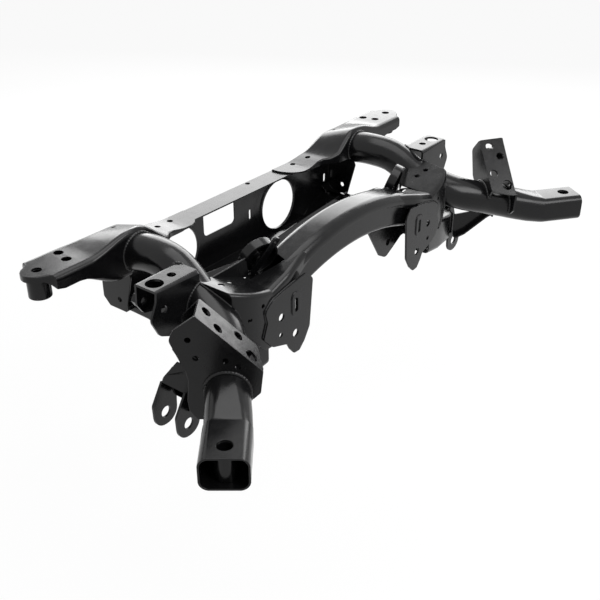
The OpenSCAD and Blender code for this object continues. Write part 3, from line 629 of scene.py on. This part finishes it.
@dataclass(frozen=True)
class SaddleCap:
    """The sheet over the tube at the arch's end: a low cap, a round fold and a front wall.

    Places are those of the left side, in millimetres.

    Attributes:
        side: Side that the cap is on.
        rear: Points of the cap's rear edge, from the outside inwards.
        fold: Points of the line where cap and wall would meet, from the outside inwards.
        foot: Lower edge of the wall as places and heights, from the outside inwards.
        holes: Places of the cap's two holes.
        tooling: Places and heights of the wall's two holes.
        radius: Radius of the fold.
        sheet: Thickness of the sheet.
        columns: Steps from the outside inwards.
        cap_steps: Steps across the cap.
        fold_points: Points round the fold.
        wall_steps: Steps down the wall.
        hole_d: Diameter of the cap's holes.
        tooling_d: Diameter of the wall's holes.
        drill_z: Height of the middle of the drill through the cap.
        drill_y: Place along Y of the middle of the drill through the wall.
        hole_drill: Length and number of sides of the drill through the cap.
        tooling_drill: Length and number of sides of the drill through the wall.
        gap: Gap that is left over the tube.
        least_wall: Least height of the wall.
        reach: How far below the cap's rim the tube is looked for.
        skirt: Height of the skirt below the rim where there is no tube.
        beaded: First column and end of the columns whose foot has a bead.
        bead: Radius of the bead.
        ripple: Distance between the bead's ripples.
        edge: Rounding of the cut edges.
    """

    side: Side
    rear: tuple[Place, ...] = ((327, -167, -20.5), (284, -178, -34), (239, -190, -46.5))
    fold: tuple[Place, ...] = ((319, -246, -27), (284, -259.5, -37.5), (238, -260.6, -50.5))
    foot: tuple[Pair, ...] = ((324, -44), (296, -112), (262, -148), (236, -150))
    holes: tuple[Pair, ...] = ((300, -209), (277, -204))
    tooling: tuple[Pair, ...] = ((265, -66), (292, -80))
    radius: float = 10.0
    sheet: float = 3.0
    columns: int = 18
    cap_steps: int = 6
    fold_points: int = 8
    wall_steps: int = 6
    hole_d: float = 10.0
    tooling_d: float = 7.0
    drill_z: float = -34.0
    drill_y: float = -258.0
    hole_drill: tuple[float, int] = (40.0, 40)
    tooling_drill: tuple[float, int] = (30.0, 32)
    gap: float = 0.3
    least_wall: float = 1.0
    reach: float = 40.0
    skirt: float = 10.0
    beaded: tuple[int, int] = (1, 12)
    bead: float = 2.4
    ripple: float = 4.0
    edge: float = 0.7

    def _place(self, x: float, y: float, z: float) -> Vector:
        """A point of the left side's plan on this side, in metres."""
        return Vector((x * self.side.value, y, z)) * MM

    @staticmethod
    def _curve(points: Sequence[Sequence[float]], u: float) -> Vector:
        """Point at a share of a smooth line through three points."""
        a, b, c = (Vector(p) for p in points)
        return a * (2 * (u - 0.5) * (u - 1)) + b * (4 * u * (1 - u)) + c * (2 * u * (u - 0.5))

    def _foot_z(self, x: float) -> float:
        """Height of the wall's lower edge at a place."""
        for (x0, z0), (x1, z1) in zip(self.foot, self.foot[1:]):
            if x >= x1:
                return z0 + (z1 - z0) * (x0 - x) / (x0 - x1)
        return self.foot[-1][1]

    def _section(self, u: float, tube: BVHTree) -> Polyline:
        """Line across the sheet from the cap's rear edge to the wall's foot.

        Args:
            u: Share of the way from the outside inwards.
            tube: Faces of the tube, on which the wall ends.

        Returns:
            Points of the line.
        """
        rear = self._curve(self.rear, u)
        apex = self._curve(self.fold, u)
        low = Vector((apex.x, apex.y, self._foot_z(apex.x)))
        start = apex + (rear - apex).normalized() * self.radius
        stop = apex + (low - apex).normalized() * self.radius
        line = [self._place(*rear.lerp(start, k / self.cap_steps)) for k in range(self.cap_steps)]
        for k in range(self.fold_points):
            t = k / (self.fold_points - 1)
            line.append(self._place(*(start * (1 - t) ** 2 + apex * (2 * t * (1 - t)) + stop * t ** 2)))
        top = self._place(*stop)
        way = self._place(*low) - top
        reach = way.length
        hit = tube.ray_cast(top, way.normalized(), reach)
        if hit[0]:
            reach = max(hit[3] - self.gap * MM, self.least_wall * MM)
        steps = range(1, self.wall_steps + 1)
        return line + [top + way.normalized() * (reach * k / self.wall_steps) for k in steps]

    def _hem(self, rim: Polyline, tube: BVHTree) -> Polyline:
        """Line below the cap's outer rim, on the tube where there is one.

        Args:
            rim: Points of the rim.
            tube: Faces of the tube.

        Returns:
            A point below each point of the rim.
        """
        hem = []
        for point in rim:
            hit = tube.ray_cast(point, DOWN, self.reach * MM)
            hem.append(hit[0] + UP * (self.gap * MM) if hit[0] else point + DOWN * (self.skirt * MM))
        return hem

    def build(self, welder: Welder) -> bpy.types.Object:
        """Makes the cap in place of its node and lays the bead along its foot.

        Args:
            welder: Gives the tube's faces and lays the bead.

        Returns:
            The cap.
        """
        tube = welder.tree(self.side.node("side_tube"))
        rows = [self._section(k / self.columns, tube) for k in range(self.columns + 1)]
        mesh = bmesh.new()
        grid = [[mesh.verts.new(p) for p in row] for row in rows]
        span(mesh, grid)
        rim = self.cap_steps + self.fold_points
        hem = self._hem(rows[0][:rim], tube)
        span(mesh, [[mesh.verts.new(p) for p in hem], grid[0][:rim]])
        bmesh.ops.recalc_face_normals(mesh, faces=mesh.faces)
        if sum(f.normal.z for f in mesh.faces) < 0:
            bmesh.ops.reverse_faces(mesh, faces=mesh.faces)
        piece = add_piece(self.side.node("saddle_cap"), mesh, Finish.PLATE)
        thicken(piece, self.sheet * MM)
        self._drill(piece)
        soften(piece, self.edge * MM)
        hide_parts(self.side.node("saddle_plate"))
        foot = [row[-1] for row in rows[slice(*self.beaded)]]
        welder.lay(self.side.node("saddle_cap_welds"), [hem, foot], self.bead * MM, self.ripple * MM)
        return piece

    @staticmethod
    def _bore(mesh: bmesh.types.BMesh, middle: Matrix, diameter: float, drill: tuple[float, int]) -> None:
        """Adds a drill to a mesh.

        Args:
            mesh: Mesh to add to.
            middle: Place and direction of the drill.
            diameter: Diameter of the drill.
            drill: Length and number of sides of the drill.
        """
        length, sides = drill
        bmesh.ops.create_cone(
            mesh,
            cap_ends=True,
            segments=sides,
            radius1=diameter / 2 * MM,
            radius2=diameter / 2 * MM,
            depth=length * MM,
            matrix=middle,
        )

    def _drill(self, piece: bpy.types.Object) -> None:
        """Cuts the cap's and the wall's holes and keeps the result as the piece's mesh.

        Args:
            piece: Sheet to cut.
        """
        bores = bmesh.new()
        for x, y in self.holes:
            upright = Matrix.Translation(self._place(x, y, self.drill_z))
            self._bore(bores, upright, self.hole_d, self.hole_drill)
        for x, z in self.tooling:
            spot = self._place(x, self.drill_y, z)
            level = Matrix.Translation(spot) @ Matrix.Rotation(math.pi / 2, 4, "X")
            self._bore(bores, level, self.tooling_d, self.tooling_drill)
        data = bpy.data.meshes.new("saddle_bores")
        bores.to_mesh(data)
        bores.free()
        cutter = bpy.data.objects.new("saddle_bores", data)
        bpy.context.scene.collection.objects.link(cutter)
        cut = piece.modifiers.new("holes", "BOOLEAN")
        cut.object = cutter
        cut.operation = "DIFFERENCE"
        cut.solver = "EXACT"
        state = bpy.context.evaluated_depsgraph_get()
        done = bpy.data.meshes.new_from_object(piece.evaluated_get(state))
        piece.modifiers.clear()
        piece.data = done
        bpy.data.objects.remove(cutter)


@dataclass(frozen=True)
class ArchLip:
    """The rounded lip that carries the saddle's fold on along the arch's front edge.

    Places are those of the left side, in millimetres.

    Attributes:
        side: Side that the lip is on.
        inner_x: Where the lip rises out of the arch.
        full_x: Where it stands at its full width.
        outer_x: Where it ends below the saddle's cap.
        back_y: Rear edge of the lip.
        sunk: Front face and rise of the lip where it begins.
        proud: Front face and rise of the lip at its full width.
        radius: Radius of the fold.
        walls: Height of the front wall at both ends.
        sheet: Thickness of the sheet.
        columns: Steps along the lip.
        fold_steps: Steps round the fold.
        hem: Width and drop of the lip's rear edge.
        probe: Outermost place, place along Y and height from which the arch's top is looked for.
        slope: Fall of the lip beyond the outermost place.
        cover: How far the lip lies over the arch's top.
        seam: Upper edge of the link plate, as places and heights.
        seam_y: Where the link plate's bead lies.
        bead: Radius of the bead.
        ripple: Distance between the bead's ripples.
        edge: Rounding of the cut edges.
    """

    side: Side
    inner_x: float = 122.0
    full_x: float = 206.0
    outer_x: float = 246.0
    back_y: float = -234.0
    sunk: Pair = (-249.5, -3.0)
    proud: Pair = (-261.0, 1.1)
    radius: float = 10.0
    walls: Pair = (12.0, 20.0)
    sheet: float = 2.5
    columns: int = 26
    fold_steps: int = 8
    hem: Pair = (2.0, 1.4)
    probe: Place = (232.0, -241.0, 200.0)
    slope: float = -0.309
    cover: float = 0.6
    seam: tuple[Pair, ...] = (
        (186, -53.5),
        (210, -57),
        (242, -63.5),
        (250, -67.5),
        (259.7, -74.8),
        (262.9, -80.5),
        (259.5, -97),
        (268, -122),
    )
    seam_y: float = -261.6
    bead: float = 2.2
    ripple: float = 4.0
    edge: float = 0.5

    def _crest(self, x: float, arch: BVHTree) -> float:
        """Height of the arch's top at a place, with what covers it, in millimetres.

        Args:
            x: Place along the lip.
            arch: Faces of the arch's upper shell.

        Returns:
            The height.
        """
        outermost, y, z = self.probe
        over = min(x, outermost)
        hit = arch.ray_cast(Vector((over, y, z)) * MM, DOWN)
        return hit[0].z / MM + self.cover + self.slope * (x - over)

    def _section(self, x: float, arch: BVHTree) -> Polyline:
        """Line across the lip from its rear edge to the foot of its wall.

        Args:
            x: Place along the lip.
            arch: Faces of the arch's upper shell.

        Returns:
            Points of the line.
        """
        u = min((x - self.inner_x) / (self.full_x - self.inner_x), 1.0)
        rise = u * u * (3 - 2 * u)
        front = self.sunk[0] + (self.proud[0] - self.sunk[0]) * rise
        top = self._crest(x, arch) + self.sunk[1] + (self.proud[1] - self.sunk[1]) * rise
        wall = self.walls[0] + (self.walls[1] - self.walls[0]) * rise
        width, drop = self.hem
        line = [(self.back_y, top - drop), (self.back_y - width, top)]
        for k in range(self.fold_steps + 1):
            turn = math.pi / 2 * k / self.fold_steps
            y = front + self.radius * (1 - math.sin(turn))
            z = top - self.radius * (1 - math.cos(turn))
            line.append((y, z))
        line.append((front, top - self.radius - wall))
        return [Vector((x * self.side.value, y, z)) * MM for y, z in line]

    def build(self, welder: Welder) -> bpy.types.Object:
        """Makes the lip and lays the bead along the link plate below it.

        Args:
            welder: Gives the arch's faces and lays the bead.

        Returns:
            The lip.
        """
        arch = welder.tree("arch_upper_shell")
        length = self.outer_x - self.inner_x
        places = [self.inner_x + length * k / self.columns for k in range(self.columns + 1)]
        mesh = bmesh.new()
        grid = [[mesh.verts.new(p) for p in self._section(x, arch)] for x in places]
        skin(mesh, grid, UP)
        piece = add_piece(self.side.node("arch_lip"), mesh, Finish.PRESSING)
        thicken(piece, self.sheet * MM)
        soften(piece, self.edge * MM)
        bead = [Vector((x * self.side.value, self.seam_y, z)) * MM for x, z in self.seam]
        welder.lay(self.side.node("link_plate_front_welds"), [bead], self.bead * MM, self.ripple * MM)
        return piece


@dataclass(frozen=True)
class RingWeb:
    """The low web that ties the bush ring to the rear edge of the saddle.

    Attributes:
        side: Side that the web is on.
        corners: Corners of the web on the left side, in millimetres.
        sheet: Thickness of the web.
        edge: Rounding of the cut edges.
    """

    side: Side
    corners: tuple[Place, ...] = (
        (290, -176, -33.5),
        (262, -185, -26),
        (244, -191, -21),
        (230, -196, -16),
        (226, -199, -50),
        (239, -190.5, -50),
        (262, -184.5, -43),
    )
    sheet: float = 3.0
    edge: float = 0.8

    def build(self) -> bpy.types.Object:
        """Makes the web.

        Returns:
            The web.
        """
        mesh = bmesh.new()
        points = [Vector((x * self.side.value, y, z)) * MM for x, y, z in self.corners]
        mesh.faces.new([mesh.verts.new(p) for p in points])
        piece = add_piece(self.side.node("ring_web"), mesh, Finish.PLATE)
        thicken(piece, self.sheet * MM)
        soften(piece, self.edge * MM)
        return piece


@dataclass(frozen=True)
class LowerRail:
    """The low channel below the tube, from the crossmember's end to the lower brace.

    Attributes:
        side: Side that the rail is on.
        stations: Place along Y, wall's place, top and bottom on the left side, in millimetres.
        flange: Width of the upper and lower flange.
        radius: Radius of the folds.
        fold_steps: Steps round a fold.
        sheet: Thickness of the sheet.
        edge: Rounding of the cut edges.
    """

    side: Side
    stations: tuple[tuple[float, float, float, float], ...] = (
        (24, 309, -131, -147),
        (-10, 308, -131, -148),
        (-45, 308, -129, -149),
        (-70, 308, -112, -155),
        (-93, 309, -98, -163),
        (-140, 311, -100, -176),
        (-186, 314, -118, -184),
    )
    flange: float = 13.0
    radius: float = 5.0
    fold_steps: int = 5
    sheet: float = 2.5
    edge: float = 0.4

    def _section(self, y: float, x: float, top: float, low: float) -> Polyline:
        """Line across the channel, from the upper flange to the lower one.

        Args:
            y: Place of the section along Y.
            x: Place of the wall on the left side.
            top: Height of the upper flange.
            low: Height of the lower flange.

        Returns:
            Points of the line.
        """
        r = self.radius
        turns = [math.pi / 2 * k / self.fold_steps for k in range(self.fold_steps + 1)]
        line = [(x - self.flange, top)]
        line += [(x - r + r * math.sin(t), top - r + r * math.cos(t)) for t in turns]
        line += [(x - r + r * math.cos(t), low + r - r * math.sin(t)) for t in turns]
        line.append((x - self.flange, low))
        return [Vector((a * self.side.value, y, z)) * MM for a, z in line]

    def build(self) -> bpy.types.Object:
        """Makes the rail.

        Returns:
            The rail.
        """
        mesh = bmesh.new()
        grid = [[mesh.verts.new(p) for p in self._section(*station)] for station in self.stations]
        skin(mesh, grid, Vector((self.side.value, 0, 0)))
        piece = add_piece(self.side.node("lower_rail"), mesh, Finish.PRESSING)
        thicken(piece, self.sheet * MM)
        soften(piece, self.edge * MM)
        return piece


@dataclass(frozen=True)
class BracketLeg:
    """The stay bracket's front sheet where it runs on down the tube, and the nut behind its upper hole.

    Places are those of the left side, in millimetres.

    Attributes:
        side: Side that the bracket is on.
        outline: Corners of the leg.
        out: Direction that the front sheet looks.
        hole: Centre of the upper hole on the front of the sheet.
        nut: Profile of the blind nut as radii and depths behind the front of the sheet.
        nut_sides: Sides of the nut.
        nut_edge: Rounding of the nut's edges.
        sheet: Thickness of the sheet.
        proud: How far the leg stands off its outline.
        edge: Rounding of the leg's cut edges.
    """

    side: Side
    outline: tuple[Place, ...] = (
        (465.5, -267.0, -40),
        (460.1, -274, -57.6),
        (455.6, -279.8, -74.7),
        (453.7, -282.2, -92),
        (454.6, -281, -112),
        (455.5, -279.9, -125.2),
        (454.2, -281.6, -143.2),
        (448.3, -289.3, -158.1),
        (441.6, -298.1, -158.1),
        (439.2, -301.2, -136.4),
        (436.6, -304.5, -105.2),
        (432, -310.4, -94),
        (436, -305.2, -70),
        (447, -291, -52),
        (458, -276.8, -38),
    )
    out: Place = (0.79, -0.61, 0.0)
    hole: Place = (452.8, -283.5, -24.2)
    nut: tuple[Pair, ...] = ((0.2, 14), (6.5, 14), (6.5, 3.5), (13, 3.5), (13, 17), (0.2, 17))
    nut_sides: int = 32
    nut_edge: float = 0.4
    sheet: float = 3.0
    proud: float = 0.4
    edge: float = 0.9

    def _mirrored(self, place: Place) -> Vector:
        """A place or direction of the left side on this side."""
        return Vector((place[0] * self.side.value, place[1], place[2]))

    def build(self) -> None:
        """Makes the leg and the nut."""
        front = self._mirrored(self.out).normalized()
        self._leg(front)
        self._nut(front)

    def _leg(self, front: Vector) -> None:
        """Makes the leg.

        Args:
            front: Direction that the front sheet looks on this side.
        """
        leg = bmesh.new()
        points = [(self._mirrored(p) + front * self.proud) * MM for p in self.outline]
        face = leg.faces.new([leg.verts.new(p) for p in points])
        face.normal_update()
        if face.normal.dot(front) < 0:
            face.normal_flip()
        piece = add_piece(self.side.node("stay_leg"), leg, Finish.PLATE)
        thicken(piece, self.sheet * MM)
        soften(piece, self.edge * MM)

    def _nut(self, front: Vector) -> None:
        """Makes the nut by turning its profile about the hole's axis.

        Args:
            front: Direction that the front sheet looks on this side.
        """
        across = front.orthogonal().normalized()
        upright = front.cross(across)
        hole = self._mirrored(self.hole)
        nut = bmesh.new()
        grid = []
        for k in range(self.nut_sides + 1):
            turn = 2 * math.pi * k / self.nut_sides
            ray = across * math.cos(turn) + upright * math.sin(turn)
            grid.append([nut.verts.new((hole + ray * r - front * d) * MM) for r, d in self.nut])
        skin(nut, grid, front)
        bmesh.ops.remove_doubles(nut, verts=nut.verts, dist=MERGE)
        bmesh.ops.recalc_face_normals(nut, faces=nut.faces)
        piece = add_piece(self.side.node("stay_nut"), nut, Finish.PRESSING)
        soften(piece, self.nut_edge * MM)


def dress(node: str, finish: Finish, edge: float, held: bool = False) -> None:
    """Coats a CAD node and rounds its sharp edges.

    Args:
        node: Name of the node.
        finish: Finish that it takes.
        edge: Width of the rounding on its sharp edges.
        held: Keeps the rounding within the piece's shortest edges.
    """
    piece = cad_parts[node]
    piece.data.materials.clear()
    piece.data.materials.append(finish.value.material())
    piece.data.polygons.foreach_set("use_smooth", [True] * len(piece.data.polygons))
    merge = piece.modifiers.new("merge", "WELD")
    merge.merge_threshold = NODE_MERGE
    flat = piece.modifiers.new("flat_faces", "DECIMATE")
    flat.decimate_type = "DISSOLVE"
    flat.angle_limit = FLAT_ANGLE
    soften(piece, edge, held)
    LOG.info("%s dressed in %s", node, finish.value.name)


@dataclass
class RearCrossmember:
    """The open pressed channel that ties the two arms together.

    Attributes:
        edge: Rounding of the sharp edges.
    """

    edge: float = 0.8 * MM

    def dress(self) -> None:
        """Coats the channel."""
        dress("rear_crossmember", Finish.PRESSING, self.edge)


@dataclass
class Arch:
    """The bent box section at the front, made of two shells.

    Attributes:
        edge: Rounding of the sharp edges.
        bead: Radius of the weld bead.
        ripple: Distance between the bead's ripples.
    """

    edge: float = 0.7 * MM
    bead: float = 1.6 * MM
    ripple: float = 3.4 * MM

    def dress(self) -> None:
        """Coats both shells."""
        for node in ("arch_upper_shell", "arch_lower_shell"):
            dress(node, Finish.PRESSING, self.edge)

    def weld(self, welder: Welder) -> None:
        """Lays the bead along the side seam.

        Args:
            welder: Lays the bead.
        """
        seams = welder.seams("arch_upper_shell", "arch_lower_shell")
        welder.lay("arch_seam_welds", seams, self.bead, self.ripple)


@dataclass
class SideFrame:
    """The tube of one side with its arm, sleeves, ring and saddle.

    Attributes:
        side: Side of the vehicle.
        edge: Rounding of the sharp edges.
        bead: Radius of the weld beads.
        ripple: Distance between the beads' ripples.
        shortest_collar: Shortest seam of an arm on the tube that is welded; shorter ones lie inside the arm.
        pressings: Pieces that take the pressings' finish.
        held: Pieces whose rounding stays within their shortest edges.
    """

    side: Side
    edge: float = 0.7 * MM
    bead: float = 3.2 * MM
    ripple: float = 4.8 * MM
    shortest_collar: float = 60.0 * MM
    pressings: tuple[str, ...] = (
        "side_tube", "arm_upper", "arm_lower", "mount_sleeve", "crush_sleeve", "bush_ring")
    held: tuple[str, ...] = ("arm_upper",)

    def dress(self) -> None:
        """Coats the tube and the pieces around it."""
        for name in self.pressings:
            dress(self.side.node(name), Finish.PRESSING, self.edge, held=name in self.held)
        dress(self.side.node("bush_stopper"), Finish.PLATE, self.edge)

    def weld(self, welder: Welder) -> None:
        """Adds the saddle's sheets and the beads where arm, saddle and ring meet their neighbours.

        Args:
            welder: Lays the beads.
        """
        tube = self.side.node("side_tube")
        SaddleCap(self.side).build(welder)
        ArchLip(self.side).build(welder)
        RingWeb(self.side).build()
        for name in ("arm_upper", "arm_lower"):
            found = welder.seams(self.side.node(name), tube)
            lines = [line for line in found if welder.length(line) > self.shortest_collar]
            welder.lay(self.side.node(f"{name}_welds"), lines, self.bead, self.ripple)
        ring = self.side.node("bush_ring")
        lines = welder.seams("arch_upper_shell", ring) + welder.seams("arch_lower_shell", ring)
        welder.lay(self.side.node("bush_ring_welds"), lines, self.bead, self.ripple)


@dataclass
class LinkMounts:
    """The brackets of one side that hold suspension links, stays and the clevis.

    Attributes:
        side: Side of the vehicle.
        edge: Rounding of the sharp edges.
        bead: Radius of the weld beads.
        collar: Radius of the stay bracket's bead on the tube.
        ripple: Distance between the beads' ripples.
        plates: Flat plates.
        folded: Bent plates, made with round folds.
        pressings: Pieces that take the pressings' finish.
        held: Pieces whose rounding stays within their shortest edges.
    """

    side: Side
    edge: float = 0.8 * MM
    bead: float = 2.8 * MM
    collar: float = 4.0 * MM
    ripple: float = 4.6 * MM
    plates: tuple[str, ...] = ("link_plate_front", "link_plate_rear")
    folded: tuple[str, ...] = ("upper_link_bracket", "stay_bracket", "lower_clevis")
    pressings: tuple[str, ...] = ("lower_brace", "brace_strut")
    held: tuple[str, ...] = ("link_plate_rear", "brace_strut")

    def dress(self) -> None:
        """Coats the brackets and adds the rail and the stay bracket's leg."""
        for name in self.plates:
            dress(self.side.node(name), Finish.PLATE, self.edge, held=name in self.held)
        for name in self.folded:
            FoldedSheet(self.side.node(name)).build(Finish.PLATE)
        for name in self.pressings:
            dress(self.side.node(name), Finish.PRESSING, self.edge, held=name in self.held)
        LowerRail(self.side).build()
        BracketLeg(self.side).build()

    def weld(self, welder: Welder) -> None:
        """Lays the beads where the brackets sit on the tube and the clevis on its brace.

        Args:
            welder: Lays the beads.
        """
        joints = (
            ("upper_link_bracket", self.side.node("side_tube")),
            ("stay_bracket", self.side.node("side_tube")),
            ("brace_strut", self.side.node("side_tube")),
            ("lower_clevis", self.side.node("lower_brace")),
        )
        for name, against in joints:
            lines = welder.seams(self.side.node(name), against)
            bead = self.collar if name == "stay_bracket" else self.bead
            welder.lay(self.side.node(f"{name}_welds"), lines, bead, self.ripple)


@dataclass
class WeldNuts:
    """The nuts behind the link bolt holes.

    Attributes:
        edge: Rounding of the sharp edges.
    """

    edge: float = 0.6 * MM

    def dress(self) -> None:
        """Coats the nuts."""
        dress("weld_nuts", Finish.PRESSING, self.edge)


@dataclass(frozen=True)
class Softbox:
    """One rectangular studio lamp.

    Attributes:
        name: Name of the lamp.
        place: Where it stands.
        aim: Point that it looks at.
        size: Width and height.
        power: Power in watts.
    """

    name: str
    place: Place
    aim: Place
    size: Pair
    power: float

    def build(self) -> None:
        """Adds the lamp to the scene."""
        lamp = bpy.data.lights.new(self.name, "AREA")
        lamp.shape = "RECTANGLE"
        lamp.size, lamp.size_y = self.size
        lamp.energy = self.power
        holder = bpy.data.objects.new(self.name, lamp)
        holder.location = self.place
        ahead = Vector(self.aim) - Vector(self.place)
        holder.rotation_euler = ahead.to_track_quat("-Z", "Y").to_euler()
        holder.visible_camera = False
        bpy.context.scene.collection.objects.link(holder)


@dataclass
class Studio:
    """The pale floor, the soft light and the camera.

    Attributes:
        floor_z: Height of the floor.
        floor_half: Half the floor's width.
        floor_tone: Brightness of the floor's matt colour.
        floor_glow: Share of plain white in what is seen of the floor.
        camera_at: Place of the camera.
        camera_right: Direction to the right in the picture.
        camera_up: Direction upwards in the picture.
        camera_back: Direction from the picture towards the viewer.
        lens: Focal length in millimetres.
        sensor: Width of the camera's sensor in millimetres.
        clip_end: Furthest distance that the camera sees.
        ambient: Strength of the world's light on the part.
        lamps: The studio's lamps.
    """

    floor_z: float = -0.52
    floor_half: float = 14.0
    floor_tone: float = 0.9
    floor_glow: float = 0.93
    camera_at: Place = (-1.1749, -1.0339, 0.6196)
    camera_right: Place = (0.61097, -0.79166, 0.00073)
    camera_up: Place = (0.38932, 0.30127, 0.87044)
    camera_back: Place = (-0.68931, -0.53153, 0.49227)
    lens: float = 54.0
    sensor: float = 36.0
    clip_end: float = 100.0
    ambient: float = 0.2
    lamps: list[Softbox] = field(default_factory=lambda: [
        Softbox("overhead_softbox", (0.1, -0.1, 1.9), (0.0, -0.1, -0.05), (2.0, 1.6), 27.0),
        Softbox("back_softbox", (2.12, 1.07, 0.86), (0.0, -0.15, -0.05), (3.0, 1.6), 63.0),
        Softbox("rear_softbox", (1.15, 2.2, 0.42), (-0.3, 0.0, 0.0), (1.0, 0.7), 6.6),
        Softbox("front_softbox", (0.0, -1.72, 1.22), (0.0, -0.15, -0.05), (1.6, 0.9), 29.0),
    ])

    def build(self) -> None:
        """Adds the floor, the world, the lamps and the camera."""
        bpy.context.scene.view_settings.view_transform = "Standard"
        self._floor()
        self._world()
        for lamp in self.lamps:
            lamp.build()
        self._camera()

    @staticmethod
    def _seen(tree: bpy.types.NodeTree) -> bpy.types.NodeSocket:
        """Adds a factor that is 1 for camera, glossy and transmission rays.

        Args:
            tree: Node tree to add to.

        Returns:
            The factor's socket.
        """
        path = tree.nodes.new("ShaderNodeLightPath")
        total = path.outputs["Is Camera Ray"]
        for kind in ("Is Glossy Ray", "Is Transmission Ray"):
            add = tree.nodes.new("ShaderNodeMath")
            add.operation = "ADD"
            add.use_clamp = True
            tree.links.new(total, add.inputs[0])
            tree.links.new(path.outputs[kind], add.inputs[1])
            total = add.outputs["Value"]
        return total

    def _floor(self) -> None:
        """Lays the white floor, which keeps a soft shadow."""
        data = bpy.data.meshes.new("studio_floor")
        half = self.floor_half
        z = self.floor_z
        corners = [(-half, -half, z), (half, -half, z), (half, half, z), (-half, half, z)]
        data.from_pydata(corners, [], [(0, 1, 2, 3)])
        floor = bpy.data.objects.new("studio_floor", data)
        bpy.context.scene.collection.objects.link(floor)
        made = bpy.data.materials.new("floor_white")
        made.use_nodes = True
        tree = made.node_tree
        tree.nodes.clear()
        out = tree.nodes.new("ShaderNodeOutputMaterial")
        matt = tree.nodes.new("ShaderNodeBsdfDiffuse")
        matt.inputs["Color"].default_value = (self.floor_tone, self.floor_tone, self.floor_tone, 1.0)
        glow = tree.nodes.new("ShaderNodeEmission")
        part = tree.nodes.new("ShaderNodeMath")
        part.operation = "MULTIPLY"
        part.inputs[1].default_value = self.floor_glow
        mix = tree.nodes.new("ShaderNodeMixShader")
        tree.links.new(self._seen(tree), part.inputs[0])
        tree.links.new(part.outputs["Value"], mix.inputs["Fac"])
        tree.links.new(matt.outputs["BSDF"], mix.inputs[1])
        tree.links.new(glow.outputs["Emission"], mix.inputs[2])
        tree.links.new(mix.outputs["Shader"], out.inputs["Surface"])
        data.materials.append(made)

    def _world(self) -> None:
        """Makes a world that shows white and lights the part softly."""
        world = bpy.data.worlds.new("studio_world")
        bpy.context.scene.world = world
        world.use_nodes = True
        tree = world.node_tree
        tree.nodes.clear()
        out = tree.nodes.new("ShaderNodeOutputWorld")
        ground = tree.nodes.new("ShaderNodeBackground")
        ground.inputs["Color"].default_value = (1.0, 1.0, 1.0, 1.0)
        level = tree.nodes.new("ShaderNodeMapRange")
        level.inputs["To Min"].default_value = self.ambient
        level.inputs["To Max"].default_value = 1.0
        tree.links.new(self._seen(tree), level.inputs["Value"])
        tree.links.new(level.outputs["Result"], ground.inputs["Strength"])
        tree.links.new(ground.outputs["Background"], out.inputs["Surface"])

    def _camera(self) -> None:
        """Puts the camera at the photograph's place."""
        data = bpy.data.cameras.new("photo_camera")
        data.lens = self.lens
        data.sensor_width = self.sensor
        data.clip_end = self.clip_end
        camera = bpy.data.objects.new("photo_camera", data)
        axes = Matrix((self.camera_right, self.camera_up, self.camera_back)).transposed().to_4x4()
        camera.matrix_world = Matrix.Translation(self.camera_at) @ axes
        bpy.context.scene.collection.objects.link(camera)
        bpy.context.scene.camera = camera


def main() -> None:
    """Builds every sub-assembly's looks, then the studio."""
    logging.basicConfig(level=logging.INFO, format="%(name)s %(message)s")
    welder = Welder()
    welded: list[Arch | SideFrame | LinkMounts] = [Arch()]
    for side in Side:
        welded += [SideFrame(side), LinkMounts(side)]
    for assembly in welded:
        assembly.weld(welder)
    for assembly in [RearCrossmember(), *welded, WeldNuts()]:
        assembly.dress()
    Studio().build()


if __name__ == "__main__":
    main()
